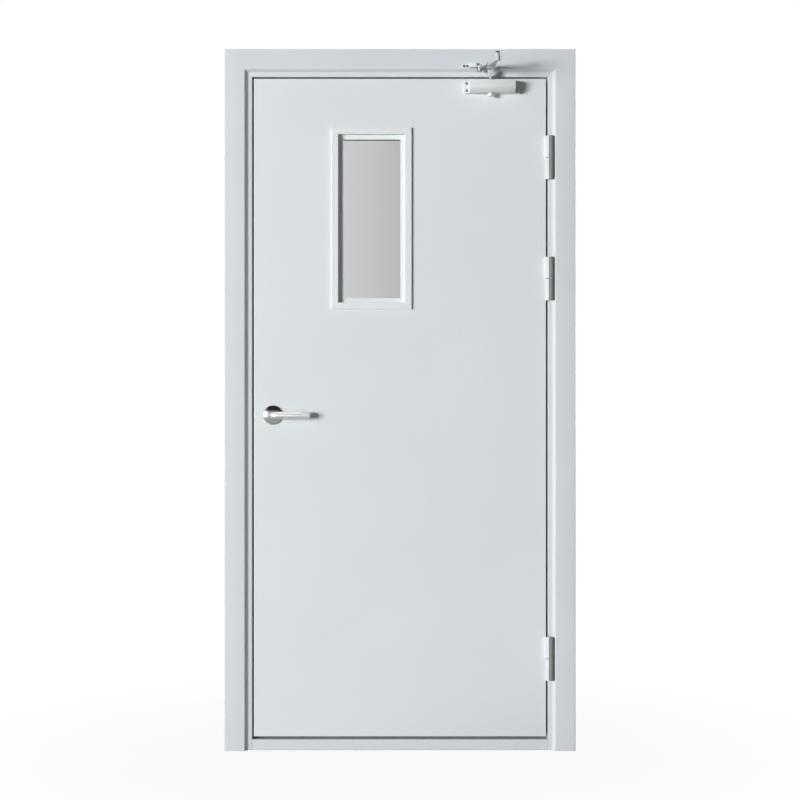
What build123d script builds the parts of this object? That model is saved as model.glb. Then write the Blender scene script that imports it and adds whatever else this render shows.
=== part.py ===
from build123d import *
import math
import os

# Driving dimensions in millimetres: x is across, z is up, and depth is told as the distance in front
# of the leaf's front face, so it is negative inside the leaf and the wall.

# Frame
FRAME_WIDTH = 1050
FRAME_HEIGHT = 2100
FRAME_DEPTH = 110
FRAME_SHEET = 1.5
FRAME_BEND = 1
FACE_WIDTH = 60
FACE_STEP = 12
SLOPE_WIDTH = 8
STRIP_WIDTH = 14
STOP_WIDTH = 20
WALL_LIP = 18
SILL_HEIGHT = 33
SILL_UPSTAND = 18.5
SILL_NOSE = 3
SILL_BEND = 2
SEAL_SPACE = 4
SEAL_WIDTH = 10
SEAL_FREE = 0.4
FIXING_HOLE = 11
FIXING_SPACING = 520
FIXING_LOW = 300
FIXING_TOP_DROP = 340
REINFORCEMENT = 5.5
REINFORCEMENT_MARGIN = 10

# Leaf
LEAF_THICKNESS = 50
LEAF_GAP = 5
SILL_GAP = 8.5
SKIN = 1
SKIN_BEND = 2
SEAM = 1
EDGE_SEAT = 3
CHANNEL_SHEET = 1.5
CHANNEL_FLANGE = 35
STILE_BLOCK = 5

# Vision panel
WINDOW_X = -85
WINDOW_DROP = 506
TRIM_WIDTH = 240
TRIM_HEIGHT = 544
TRIM_FACE = 20
TRIM_FOOT = 14
TRIM_PROUD = 8
TRIM_FOOT_DEPTH = 11.5
TRIM_SHEET = 1.2
TRIM_ROUND = 1.5
TRIM_MOUTH_ROUND = 1
TAPE = 1.5
TAPE_WIDTH = 10
GLASS_COVER = 12
GLASS_FREE = 4
LINER_SHEET = 1.2
LINER_FLANGE = 15
TRIM_SCREW_SIDE = 160

# Hinges
HINGE_TOP_DROP = 324
HINGE_MIDDLE_DROP = 686.4
HINGE_BOTTOM = 275.5
HINGE_RELIEF_ENDS = (-1, -1, 1)
HINGE_LENGTH = 130
HINGE_AXIS_OUT = 10
HINGE_AXIS_FRONT = 9
BARREL_RADIUS = 8
PIN_RADIUS = 4
PIN_FIT = 0.05
WASHER = 2
HINGE_PLATE = 3
HINGE_PLATE_DEPTH = 36
HINGE_PLATE_SETBACK = 2
HINGE_ARM_REACH = 6.5
HINGE_SCREW_ROWS = (12, 26)
HINGE_SCREW_SPREADS = (48, 22)
RELIEF_LENGTH = 7
RELIEF_WIDTH = 6
SEAT_FIT = 0.2
OVERCUT = 1

# Countersunk screws
SCREW_RADIUS = 2.4
SCREW_HEAD_RADIUS = 4.6
SCREW_HEAD = 2.2
SCREW_LENGTH = 10
SCREW_FIT = 0.1
SCREW_BACKING = 4

# Pan head screws
MACHINE_SCREW = 2
PAN_HEAD = 4
PAN_HEAD_HEIGHT = 2.5

# Lock, strike and handles
BACKSET = 57.5
HANDLE_Z = 1005
FOREND_WIDTH = 24
FOREND_LENGTH = 235
FOREND_SCREW_SPREAD = 105
CASE_WIDTH = 85
CASE_HEIGHT = 120
CASE_DEPTH = 18
CASE_SHEET = 1.5
CASE_BRIDGE = 2
FOLLOWER_RADIUS = 9.5
FOLLOWER_LUG = 13
FOLLOWER_LUG_WIDTH = 6
FOLLOWER_PROUD = 0.3
SPINDLE = 8
SPINDLE_FIT = 0.1
SPINDLE_HOLE = 12
SPINDLE_IN_LEVER = 24
TURN_FREE = 0.3
LATCH_HEAD = 25
LATCH_THICKNESS = 12
LATCH_HEIGHT = 22
LATCH_BEVEL = 10
LATCH_BEVEL_REST = 3
LATCH_FREE = 0.4
LATCH_ROD = 3
LATCH_TAIL = 3
LATCH_TAIL_THICKNESS = 6
LATCH_TAIL_REACH = 14
LATCH_NECK = 7
LATCH_SPRING_ROOM = 8.5
LATCH_SPRING_RADIUS = 4.2
LATCH_SPRING_WIRE = 0.8
LATCH_SPRING_TURNS = 4
STRIKE_WIDTH = 26
STRIKE_LENGTH = 180
STRIKE_SCREW_SPREAD = 70
STRIKE_HOLE_FREE = 1
STRIKE_BOX = 12
STRIKE_BOX_WALL = 1
STRIKE_BOX_MARGIN = 2
ROSE_RADIUS = 29
ROSE_HEIGHT = 9
ROSE_DOME = 85
ROSE_WALL = 2
ROSE_ROUND = 1.5
ROSE_BOLT_SPREAD = 19
ROSE_BOLT = 2
ROSE_BOLT_HEAD = 3.5
ROSE_BOLT_HEAD_HEIGHT = 2.5
ROSE_BOLT_FIT = 0.3
LEVER_RADIUS = 9.5
LEVER_START = 2
LEVER_STAND = 52
LEVER_REACH = 104.5
LEVER_NECK_BEND = 16
LEVER_TIP_BEND = 30
LEVER_TIP_FRONT = 18
LEVER_END_ROUND = 3

# Door closer
CLOSER_FROM_HINGE = 177.5
CLOSER_DROP = 114.8
CLOSER_LENGTH = 136
CLOSER_HEIGHT = 37
CLOSER_DEPTH = 48
CLOSER_TOP_CHAMFER = 3
CLOSER_TOP_CHAMFER_DEPTH = 4
CLOSER_LOW_CHAMFER = 12
CLOSER_LOW_CHAMFER_DEPTH = 14
LUG_LENGTH = 17
LUG_DEPTH = 14
LUG_CORNER = 4
LUG_SCREW_SPREAD = 10.5
LUG_SCREW_LENGTH = 34
CLOSER_BORE = 13
CLOSER_BORE_FRONT = 24
CLOSER_FIT = 0.05
CLOSER_PLUG = 8
VALVE_RADIUS = 3
VALVE_HEAD = 2
VALVE_DEPTH = 6
VALVE_FRONT = 42
VALVE_SPREAD = 6
SPINDLE_OFF_MIDDLE = 4.8
PINION_TEETH = 10
PINION_PITCH_RADIUS = 6.5
PINION_TIP = 7.5
PINION_ROOT = 4.8
PINION_FACE = 9
PINION_SHAFT = 4.95
RACK_TIP = 5.4
RACK_ROOT = 7.9
PINION_TIP_HALF_ANGLE = 2.2
PINION_PITCH_HALF_ANGLE = 6.2
PINION_ROOT_HALF_ANGLE = 9.5
RACK_TIP_SHARE = 0.09
RACK_ROOT_SHARE = 0.24
FIRST_RACK_TOOTH_SHARE = 1.5
BUSH_RADIUS = 8.5
BOTTOM_CAP_RADIUS = 7.5
BOTTOM_CAP_HEIGHT = 12
BOTTOM_CAP_ROUND = 2
PISTON_LENGTH = 56
PISTON_REST = 16.2
SLOT_FREE = 0.7
SLOT_TRAVEL = 23.6
CLOSER_SPRING_WIRE = 3
CLOSER_SPRING_FREE = 1
CLOSER_SPRING_TURNS = 6

# Closer arms and shoe
ELBOW_ASIDE = 11.3
ELBOW_FRONT = 185
SHOE_PIVOT_ASIDE = 32.7
SHOE_PIVOT_FRONT = 28
ARM_HUB_RISE = 8.8
ARM_HUB_HEIGHT = 13
ARM_HUB_RADIUS = 10.5
ARM_SQUARE = 7
ARM_BAR_RISE = 15.5
ARM_BAR = 6
ARM_RISE_START = 6
ARM_RISE_END = 14
ARM_END_HALF_WIDTH = 7
ARM_SCREW_RADIUS = 5
ARM_SCREW_HEAD = 3.5
ARM_SCREW_THREAD = 2
ARM_SCREW_DEPTH = 8
ELBOW_BOSS_RADIUS = 6.5
ELBOW_BOSS_HEIGHT = 11
ELBOW_PIN_RADIUS = 4
ELBOW_CAP_RADIUS = 5.5
ELBOW_CAP_HEIGHT = 5
EYE_RADIUS = 8
EYE_FREE = 0.5
EYE_HEIGHT = 10.5
ROD_RADIUS = 3
TUBE_RADIUS = 5
TUBE_LENGTH = 80
ROD_IN_TUBE = 45
LOCKNUT_RADIUS = 6
LOCKNUT_LENGTH = 6
LOCKNUT_TURN = 30
LOCKNUT_SIDES = 6
SHOE_PLATE_LENGTH = 52
SHOE_PLATE = 3
SHOE_PLATE_RISE = 0.5
SHOE_HEIGHT = 12
SHOE_BLOCK_FAR = 31
SHOE_BLOCK_NEAR = 9
SHOE_BLOCK_FRONT = 24
SHOE_BLOCK_HEIGHT = 15.5
SHOE_TONGUE = 4
SHOE_TONGUE_RADIUS = 9
SHOE_SCREWS_FAR = (47, 36.5)
SHOE_SCREW_LENGTH = 12
SHOE_PIN_HEAD = 2.5
SHOE_PIN_PROUD = 1.5

# Derived positions
LEAF_FRONT = FACE_STEP - FRAME_DEPTH / 2
REVEAL = FACE_WIDTH + SLOPE_WIDTH + STRIP_WIDTH
OPENING_HALF = FRAME_WIDTH / 2 - REVEAL
OPENING_TOP = FRAME_HEIGHT - REVEAL
CLEAR_HALF = OPENING_HALF - STOP_WIDTH
STOP_FRONT = -LEAF_THICKNESS - SEAL_SPACE
FRAME_BACK = FACE_STEP - FRAME_DEPTH
LEAF_HALF = OPENING_HALF - LEAF_GAP
LEAF_TOP = OPENING_TOP - LEAF_GAP
LEAF_BOTTOM = SILL_HEIGHT + SILL_GAP
LEAF_MIDDLE = -LEAF_THICKNESS / 2
WEB_OUT = LEAF_HALF - EDGE_SEAT
WEB_IN = WEB_OUT - CHANNEL_SHEET
FLANGE_TIP = WEB_OUT - CHANNEL_FLANGE
HINGE_X = OPENING_HALF + HINGE_AXIS_OUT
HANDLE_X = BACKSET - LEAF_HALF
HINGE_HEIGHTS = (FRAME_HEIGHT - HINGE_TOP_DROP, FRAME_HEIGHT - HINGE_MIDDLE_DROP, HINGE_BOTTOM)
WINDOW_Z = FRAME_HEIGHT - WINDOW_DROP
CLOSER_X = HINGE_X - CLOSER_FROM_HINGE
CLOSER_Z = FRAME_HEIGHT - CLOSER_DROP
SPINDLE_X = CLOSER_X - SPINDLE_OFF_MIDDLE
ELBOW_X = SPINDLE_X + ELBOW_ASIDE
SHOE_PIVOT_X = SPINDLE_X - SHOE_PIVOT_ASIDE
ARM_HUB_LOW = CLOSER_Z + CLOSER_HEIGHT / 2 + ARM_HUB_RISE
ARM_BAR_LOW = ARM_HUB_LOW + ARM_HUB_HEIGHT + ARM_BAR_RISE
ELBOW_BOSS_TOP = ARM_BAR_LOW + ELBOW_BOSS_HEIGHT
EYE_LOW = ARM_BAR_LOW - EYE_FREE - EYE_HEIGHT
SHOE_LEFT = SHOE_PIVOT_X - SHOE_PLATE_LENGTH
SHOE_BLOCK_LEFT = SHOE_PIVOT_X - SHOE_BLOCK_FAR
SHOE_BLOCK_RIGHT = SHOE_PIVOT_X - SHOE_BLOCK_NEAR
SHOE_LOW = ARM_BAR_LOW + SHOE_PLATE_RISE
PITCH = 2 * math.pi * PINION_PITCH_RADIUS / PINION_TEETH

INWARD = Rot(-90, 0, 0)
OUTWARD = Rot(90, 0, 0)
RIGHTWARD = Rot(0, 90, 0)
LEFTWARD = Rot(0, -90, 0)
LEAF_MIDPLANE = Plane(origin=(0, LEAF_FRONT - LEAF_MIDDLE, 0), z_dir=(0, 1, 0))
PARTS = {}


def block(x0, x1, front0, front1, z0, z1):
    """Block between two corners, each told as across, in front of the leaf's face, and up."""
    middle = Pos((x0 + x1) / 2, LEAF_FRONT - (front0 + front1) / 2, (z0 + z1) / 2)
    return middle * Box(abs(x1 - x0), abs(front1 - front0), abs(z1 - z0))


def post(x, front, z0, z1, radius):
    """Upright round bar."""
    return Pos(x, LEAF_FRONT - front, (z0 + z1) / 2) * Cylinder(radius, z1 - z0)


def peg(x0, x1, front, z, radius):
    """Round bar that runs across."""
    return Pos((x0 + x1) / 2, LEAF_FRONT - front, z) * RIGHTWARD * Cylinder(radius, x1 - x0)


def stud(x, front0, front1, z, radius):
    """Round bar that runs through the door."""
    middle = Pos(x, LEAF_FRONT - (front0 + front1) / 2, z)
    return middle * OUTWARD * Cylinder(radius, abs(front1 - front0))


def placed(shape, x, front, z, turn):
    """Shape that was made along z, turned and set at a point."""
    return Pos(x, LEAF_FRONT - front, z) * turn * shape


def mirrored_in_leaf(shape):
    """The same shape on the other face of the leaf."""
    return mirror(shape, about=LEAF_MIDPLANE)


def cut(shape, tools):
    """Shape with every tool taken out."""
    for tool in tools:
        shape = shape - tool
    return shape


def countersunk(length, fit=0):
    """Countersunk screw along z from its head's flat, or with a fit the hole for it."""
    head = Pos(0, 0, SCREW_HEAD / 2) * Cone(SCREW_HEAD_RADIUS + fit, SCREW_RADIUS + fit, SCREW_HEAD)
    shank = Pos(0, 0, (length + fit) / 2) * Cylinder(SCREW_RADIUS + fit, length + fit)
    return head + shank


def headed(head_radius, head_height, radius, length):
    """Screw along z with a round head that ends at zero."""
    head = Pos(0, 0, -head_height / 2) * Cylinder(head_radius, head_height)
    shank = Pos(0, 0, length / 2) * Cylinder(radius, length)
    return head + shank


def sheet(points, thickness, bend):
    """Face of a folded sheet whose outer line runs through the points, with the metal on its left."""
    line = [Vector(*p) for p in points]
    ways = [(b - a).normalized() for a, b in zip(line, line[1:])]
    sides = [Vector(-w.Y, w.X) for w in ways]
    other = [line[0] + sides[0] * thickness]
    tight = []
    wide = []
    for i in range(1, len(ways)):
        before = sides[i - 1]
        after = sides[i]
        corner = line[i] + (before + after) * (thickness / (1 + before.dot(after)))
        left_turn = ways[i - 1].X * ways[i].Y - ways[i - 1].Y * ways[i].X > 0
        tight.append(corner if left_turn else line[i])
        wide.append(line[i] if left_turn else corner)
        other.append(corner)
    other.append(line[-1] + sides[-1] * thickness)
    face = make_face(Polyline(*line, *reversed(other), close=True))
    for corners, radius in ((tight, bend), (wide, bend + thickness)):
        face = fillet([face.vertices().sort_by_distance(c)[0] for c in corners], radius)
    return face


def slab(width, height, level0, level1):
    """Rectangular plate between two levels, made along z."""
    return Pos(0, 0, (level0 + level1) / 2) * Box(width, height, level1 - level0)


def coil(radius, wire, turns, room):
    """Spring of square wire along z that fills the room from zero."""
    path = Pos(0, 0, wire / 2) * Helix((room - wire) / turns, room - wire, radius - wire / 2)
    section = Plane(path @ 0, x_dir=(1, 0, 0), z_dir=path % 0) * Rectangle(wire, wire)
    return sweep(section, path=path, is_frenet=True)


# Hinges: one lift-off pair each, the upper knuckle on the leaf and the lower one on the frame
hinge_screw_places = []
for row, spread in zip(HINGE_SCREW_ROWS, HINGE_SCREW_SPREADS):
    hinge_screw_places.append((-row, spread))
    hinge_screw_places.append((-row, -spread))

ARM_LOW = HINGE_AXIS_FRONT - HINGE_PLATE / 2
ARM_HIGH = HINGE_AXIS_FRONT + HINGE_PLATE / 2
plate_back = -HINGE_PLATE_DEPTH
frame_screws = []
leaf_screws = []
frame_screw_holes = []
leaf_screw_holes = []
frame_plate_seats = []
leaf_plate_seats = []
hinge_blocks_frame = []
hinge_blocks_leaf = []
leaf_block_rooms = []
pins = []
washers = []
for number, (level, relief_end) in enumerate(zip(HINGE_HEIGHTS, HINGE_RELIEF_ENDS), start=1):
    low = level - HINGE_LENGTH / 2
    high = level + HINGE_LENGTH / 2
    split_low = level - WASHER / 2
    split_high = level + WASHER / 2
    margin_low = low - REINFORCEMENT_MARGIN
    margin_high = high + REINFORCEMENT_MARGIN
    bore = post(HINGE_X, HINGE_AXIS_FRONT, low, high, PIN_RADIUS + PIN_FIT)
    door_flag = block(WEB_OUT, LEAF_HALF, plate_back, 0, low, high)
    door_flag += block(WEB_OUT, LEAF_HALF, 0, ARM_HIGH, split_high, high)
    door_flag += block(WEB_OUT, HINGE_X, ARM_LOW, ARM_HIGH, split_high, high)
    door_flag += post(HINGE_X, HINGE_AXIS_FRONT, split_high, high, BARREL_RADIUS)
    frame_plate_out = OPENING_HALF + HINGE_PLATE
    frame_flag = block(OPENING_HALF, frame_plate_out, plate_back, -HINGE_PLATE_SETBACK, low, high)
    frame_flag += block(OPENING_HALF, frame_plate_out, plate_back, ARM_HIGH, low, split_low)
    frame_flag += block(OPENING_HALF - HINGE_ARM_REACH, HINGE_X, ARM_LOW, ARM_HIGH, low, split_low)
    frame_flag += post(HINGE_X, HINGE_AXIS_FRONT, low, split_low, BARREL_RADIUS)
    door_flag = door_flag - bore
    frame_flag = frame_flag - bore
    for front, spread in hinge_screw_places:
        z = level + spread
        frame_hole = placed(countersunk(SCREW_LENGTH, SCREW_FIT), OPENING_HALF, front, z, RIGHTWARD)
        leaf_hole = placed(countersunk(SCREW_LENGTH, SCREW_FIT), LEAF_HALF, front, z, LEFTWARD)
        frame_flag = frame_flag - frame_hole
        door_flag = door_flag - leaf_hole
        frame_screw_holes.append(frame_hole)
        leaf_screw_holes.append(leaf_hole)
        frame_screws.append(placed(countersunk(SCREW_LENGTH), OPENING_HALF, front, z, RIGHTWARD))
        leaf_screws.append(placed(countersunk(SCREW_LENGTH), LEAF_HALF, front, z, LEFTWARD))
    PARTS["hinge_door_leaf_" + str(number)] = door_flag
    PARTS["hinge_frame_leaf_" + str(number)] = frame_flag
    pins.append(post(HINGE_X, HINGE_AXIS_FRONT, low, high, PIN_RADIUS))
    washer = post(HINGE_X, HINGE_AXIS_FRONT, split_low, split_high, BARREL_RADIUS)
    washers.append(washer - bore)
    seat_low = low - SEAT_FIT
    seat_high = high + SEAT_FIT
    frame_plate_seats.append(
        block(OPENING_HALF - OVERCUT, frame_plate_out, plate_back - SEAT_FIT,
              SEAT_FIT - HINGE_PLATE_SETBACK, seat_low, seat_high)
    )
    frame_plate_seats.append(
        block(OPENING_HALF - OVERCUT, frame_plate_out + SEAT_FIT, plate_back - SEAT_FIT,
              FACE_STEP, seat_low, split_low + SEAT_FIT)
    )
    relief = level + relief_end * (HINGE_LENGTH + RELIEF_LENGTH) / 2
    frame_plate_seats.append(
        block(OPENING_HALF - OVERCUT, OPENING_HALF + RELIEF_WIDTH, -FRAME_SHEET - FRAME_BEND, 0,
              relief - RELIEF_LENGTH / 2, relief + RELIEF_LENGTH / 2)
    )
    leaf_plate_seats.append(
        block(WEB_OUT, LEAF_HALF, plate_back - SEAT_FIT, 0, seat_low, seat_high)
    )
    sheet_back = OPENING_HALF + FRAME_SHEET
    hinge_blocks_frame.append(
        block(sheet_back, sheet_back + REINFORCEMENT, plate_back - HINGE_PLATE_SETBACK,
              -FRAME_SHEET - HINGE_PLATE_SETBACK, margin_low, margin_high)
    )
    hinge_blocks_leaf.append(
        block(WEB_IN - STILE_BLOCK, WEB_IN, plate_back, -CHANNEL_SHEET - SKIN, margin_low, margin_high)
    )
    leaf_block_rooms.append(
        block(WEB_IN - STILE_BLOCK - SCREW_LENGTH, WEB_IN, plate_back, -CHANNEL_SHEET - SKIN,
              margin_low, margin_high)
    )

PARTS["hinge_pins"] = Compound(children=pins)
PARTS["hinge_washers"] = Compound(children=washers)

# Frame: one folded profile for both jambs and the head, mitred at the top corners
profile = sheet(
    [
        (0, LEAF_FRONT - FACE_STEP + WALL_LIP),
        (0, LEAF_FRONT - FACE_STEP),
        (FACE_WIDTH, LEAF_FRONT - FACE_STEP),
        (FACE_WIDTH + SLOPE_WIDTH, LEAF_FRONT),
        (REVEAL, LEAF_FRONT),
        (REVEAL, LEAF_FRONT - STOP_FRONT),
        (REVEAL + STOP_WIDTH, LEAF_FRONT - STOP_FRONT),
        (REVEAL + STOP_WIDTH, LEAF_FRONT - FRAME_BACK),
        (0, LEAF_FRONT - FRAME_BACK),
        (0, LEAF_FRONT - FRAME_BACK - WALL_LIP),
    ],
    FRAME_SHEET,
    FRAME_BEND,
)
left_mitre = Plane(origin=(-FRAME_WIDTH / 2, 0, FRAME_HEIGHT), z_dir=(1, 0, 1))
right_mitre = Plane(origin=(FRAME_WIDTH / 2, 0, FRAME_HEIGHT), z_dir=(-1, 0, 1))
jamb = Pos(-FRAME_WIDTH / 2, 0, 0) * extrude(profile, FRAME_HEIGHT)
jamb = split(jamb, bisect_by=left_mitre, keep=Keep.BOTTOM)
fixing_front = (STOP_FRONT + FRAME_BACK) / 2
for base in (FIXING_LOW, FRAME_HEIGHT - FIXING_TOP_DROP - FIXING_SPACING):
    for z in (base, base + FIXING_SPACING):
        soffit = peg(-CLEAR_HALF - FRAME_SHEET * 2, FRAME_SHEET - CLEAR_HALF, fixing_front, z,
                     FIXING_HOLE / 2)
        jamb = jamb - soffit
hinge_jamb = mirror(jamb, about=Plane.YZ)
for plate in hinge_blocks_frame:
    hinge_jamb = hinge_jamb + plate
PARTS["hinge_jamb"] = cut(hinge_jamb, frame_plate_seats + frame_screw_holes)

head = Pos(0, 0, FRAME_HEIGHT) * RIGHTWARD * extrude(profile, FRAME_WIDTH / 2, both=True)
head = split(head, bisect_by=left_mitre, keep=Keep.TOP)
head = split(head, bisect_by=right_mitre, keep=Keep.TOP)
face_back = FACE_STEP - FRAME_SHEET
head = head + block(SHOE_LEFT, SHOE_BLOCK_RIGHT, face_back - SCREW_BACKING, face_back, SHOE_LOW,
                    SHOE_LOW + SHOE_HEIGHT)

# Lock side of the frame: strike plate in a window of the jamb, on a backing with a dust box
strike_in = -OPENING_HALF - FRAME_SHEET
strike_back = strike_in - SCREW_BACKING
strike_half = STRIKE_WIDTH / 2
strike_low = HANDLE_Z - STRIKE_LENGTH / 2
strike_high = HANDLE_Z + STRIKE_LENGTH / 2
hole_half_depth = LATCH_THICKNESS / 2 + STRIKE_HOLE_FREE
hole_half_height = LATCH_HEIGHT / 2 + STRIKE_HOLE_FREE
latch_hole = block(strike_back - OVERCUT, OVERCUT - OPENING_HALF, LEAF_MIDDLE - hole_half_depth,
                   LEAF_MIDDLE + hole_half_depth, HANDLE_Z - hole_half_height,
                   HANDLE_Z + hole_half_height)
strike_window = block(strike_in, OVERCUT - OPENING_HALF, LEAF_MIDDLE - strike_half - SEAT_FIT,
                      LEAF_MIDDLE + strike_half + SEAT_FIT, strike_low - SEAT_FIT,
                      strike_high + SEAT_FIT)
lock_jamb = jamb - strike_window
lock_jamb = lock_jamb + block(strike_back, strike_in, STOP_FRONT + REINFORCEMENT_MARGIN,
                              -REINFORCEMENT_MARGIN / 2, strike_low - REINFORCEMENT_MARGIN,
                              strike_high + REINFORCEMENT_MARGIN)
strike = block(strike_in, -OPENING_HALF, LEAF_MIDDLE - strike_half, LEAF_MIDDLE + strike_half,
               strike_low, strike_high)
for spread in (STRIKE_SCREW_SPREAD, -STRIKE_SCREW_SPREAD):
    z = HANDLE_Z + spread
    hole = placed(countersunk(SCREW_LENGTH, SCREW_FIT), -OPENING_HALF, LEAF_MIDDLE, z, LEFTWARD)
    strike = strike - hole
    lock_jamb = lock_jamb - hole
    frame_screws.append(placed(countersunk(SCREW_LENGTH), -OPENING_HALF, LEAF_MIDDLE, z, LEFTWARD))
PARTS["lock_jamb"] = lock_jamb - latch_hole
PARTS["strike_plate"] = strike - latch_hole
box_half_depth = hole_half_depth + STRIKE_BOX_MARGIN
box_half_height = hole_half_height + STRIKE_BOX_MARGIN
strike_box = block(strike_back - STRIKE_BOX, strike_back, LEAF_MIDDLE - box_half_depth,
                   LEAF_MIDDLE + box_half_depth, HANDLE_Z - box_half_height, HANDLE_Z + box_half_height)
strike_room = block(strike_back - STRIKE_BOX + STRIKE_BOX_WALL, strike_back,
                    LEAF_MIDDLE - box_half_depth + STRIKE_BOX_WALL,
                    LEAF_MIDDLE + box_half_depth - STRIKE_BOX_WALL,
                    HANDLE_Z - box_half_height + STRIKE_BOX_WALL,
                    HANDLE_Z + box_half_height - STRIKE_BOX_WALL)
PARTS["strike_box"] = strike_box - strike_room
PARTS["frame_screws"] = Compound(children=frame_screws)

# Threshold: closed folded box with an upstand, its ends cut round the jambs' stops
sill_line = [
    (LEAF_FRONT, 0),
    (LEAF_FRONT - FRAME_BACK, 0),
    (LEAF_FRONT - FRAME_BACK, SILL_HEIGHT + SILL_UPSTAND),
    (LEAF_FRONT - STOP_FRONT, SILL_HEIGHT + SILL_UPSTAND),
    (LEAF_FRONT - STOP_FRONT, SILL_HEIGHT),
    (LEAF_FRONT, SILL_HEIGHT),
]
sill_outer = make_face(Polyline(*sill_line, close=True))
sill_inner = offset(sill_outer, amount=-FRAME_SHEET, kind=Kind.INTERSECTION)
nose = sill_outer.vertices().sort_by_distance(Vector(LEAF_FRONT, 0))[0]
sill_outer = fillet(nose, SILL_NOSE)
top_edge = sill_outer.vertices().sort_by_distance(Vector(LEAF_FRONT, SILL_HEIGHT))[0]
sill_outer = fillet(top_edge, SILL_BEND)
inner_nose = sill_inner.vertices().sort_by_distance(Vector(LEAF_FRONT, 0))[0]
sill_inner = fillet(inner_nose, SILL_NOSE - FRAME_SHEET)
threshold = extrude(Plane.YZ * (sill_outer - sill_inner), OPENING_HALF, both=True)
for side in (-1, 1):
    threshold = threshold - block(side * CLEAR_HALF, side * FRAME_WIDTH / 2, STOP_FRONT, FRAME_BACK,
                                  0, SILL_HEIGHT + SILL_UPSTAND)
    threshold = threshold - block(side * (OPENING_HALF - FRAME_BEND), side * OPENING_HALF, STOP_FRONT,
                                  STOP_FRONT + FRAME_BEND, 0, SILL_HEIGHT)
PARTS["threshold"] = threshold

# Seal on the stop, all round behind the leaf
seal_side = (STOP_WIDTH - SEAL_WIDTH) / 2
seal_bottom = SILL_HEIGHT + (SILL_UPSTAND - SEAL_WIDTH) / 2
seal_front = STOP_FRONT + SEAL_SPACE - SEAL_FREE
frame_seal = block(seal_side - OPENING_HALF, OPENING_HALF - seal_side, STOP_FRONT, seal_front,
                   seal_bottom, OPENING_TOP - seal_side)
seal_hole_half = OPENING_HALF - seal_side - SEAL_WIDTH
frame_seal = frame_seal - block(-seal_hole_half, seal_hole_half, STOP_FRONT, seal_front,
                                seal_bottom + SEAL_WIDTH, OPENING_TOP - seal_side - SEAL_WIDTH)
PARTS["frame_seal"] = frame_seal

# Vision panel: liner, glass, tapes and a folded trim on each face, its flat foot set back round the glass
GLASS_W = TRIM_WIDTH - 2 * (TRIM_FACE + TRIM_FOOT)
GLASS_H = TRIM_HEIGHT - 2 * (TRIM_FACE + TRIM_FOOT)
PANE_W = GLASS_W + 2 * GLASS_COVER
PANE_H = GLASS_H + 2 * GLASS_COVER
CUT_W = PANE_W + 2 * GLASS_FREE
CUT_H = PANE_H + 2 * GLASS_FREE
window_at = Pos(WINDOW_X, LEAF_FRONT, WINDOW_Z) * OUTWARD
mouth_w = TRIM_WIDTH - 2 * TRIM_FACE
mouth_h = TRIM_HEIGHT - 2 * TRIM_FACE
foot_top = TRIM_SHEET - TRIM_FOOT_DEPTH
trim = slab(TRIM_WIDTH, TRIM_HEIGHT, 0, TRIM_PROUD)
trim = fillet(trim.faces().sort_by(Axis.Z)[-1].edges(), TRIM_ROUND)
trim = trim - slab(TRIM_WIDTH - 2 * TRIM_SHEET, TRIM_HEIGHT - 2 * TRIM_SHEET, 0, TRIM_PROUD - TRIM_SHEET)
trim = trim + slab(mouth_w + 2 * TRIM_SHEET, mouth_h + 2 * TRIM_SHEET, -TRIM_FOOT_DEPTH, TRIM_PROUD)
trim = trim - slab(mouth_w, mouth_h, foot_top, TRIM_PROUD)
trim = fillet(trim.faces().sort_by(Axis.Z)[-1].inner_wires()[0].edges(), TRIM_MOUTH_ROUND)
trim = trim - slab(GLASS_W, GLASS_H, -TRIM_FOOT_DEPTH, foot_top)
trim_front = window_at * trim
trim_back = mirrored_in_leaf(trim_front)
PARTS["window_trim_front"] = trim_front

trim_screw_places = []
for side in (-1, 1):
    for row in (-1, 0, 1):
        trim_screw_places.append((side * (TRIM_WIDTH - TRIM_FACE) / 2, row * TRIM_SCREW_SIDE))
    trim_screw_places.append((0, side * (TRIM_HEIGHT - TRIM_FACE) / 2))
trim_screws = []
trim_screw_holes = []
trim_screw_front = -LEAF_THICKNESS - TRIM_PROUD
for across, up in trim_screw_places:
    x = WINDOW_X + across
    z = WINDOW_Z + up
    trim_screw = headed(PAN_HEAD, PAN_HEAD_HEIGHT, MACHINE_SCREW, LEAF_THICKNESS / 2)
    trim_screws.append(placed(trim_screw, x, trim_screw_front, z, OUTWARD))
    trim_screw_holes.append(
        stud(x, trim_screw_front, trim_screw_front + LEAF_THICKNESS / 2 + SCREW_FIT, z,
             MACHINE_SCREW + SCREW_FIT)
    )
PARTS["window_trim_back"] = cut(trim_back, trim_screw_holes)
PARTS["window_trim_screws"] = Compound(children=trim_screws)

tape = slab(GLASS_W + 2 * TAPE_WIDTH, GLASS_H + 2 * TAPE_WIDTH, -TRIM_FOOT_DEPTH - TAPE, -TRIM_FOOT_DEPTH)
tape = tape - slab(GLASS_W, GLASS_H, -TRIM_FOOT_DEPTH - TAPE, -TRIM_FOOT_DEPTH)
tape_front = window_at * tape
PARTS["window_tapes"] = Compound(children=[tape_front, mirrored_in_leaf(tape_front)])
pane_front = TRIM_FOOT_DEPTH + TAPE
PARTS["window_glass"] = window_at * slab(PANE_W, PANE_H, pane_front - LEAF_THICKNESS, -pane_front)

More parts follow.
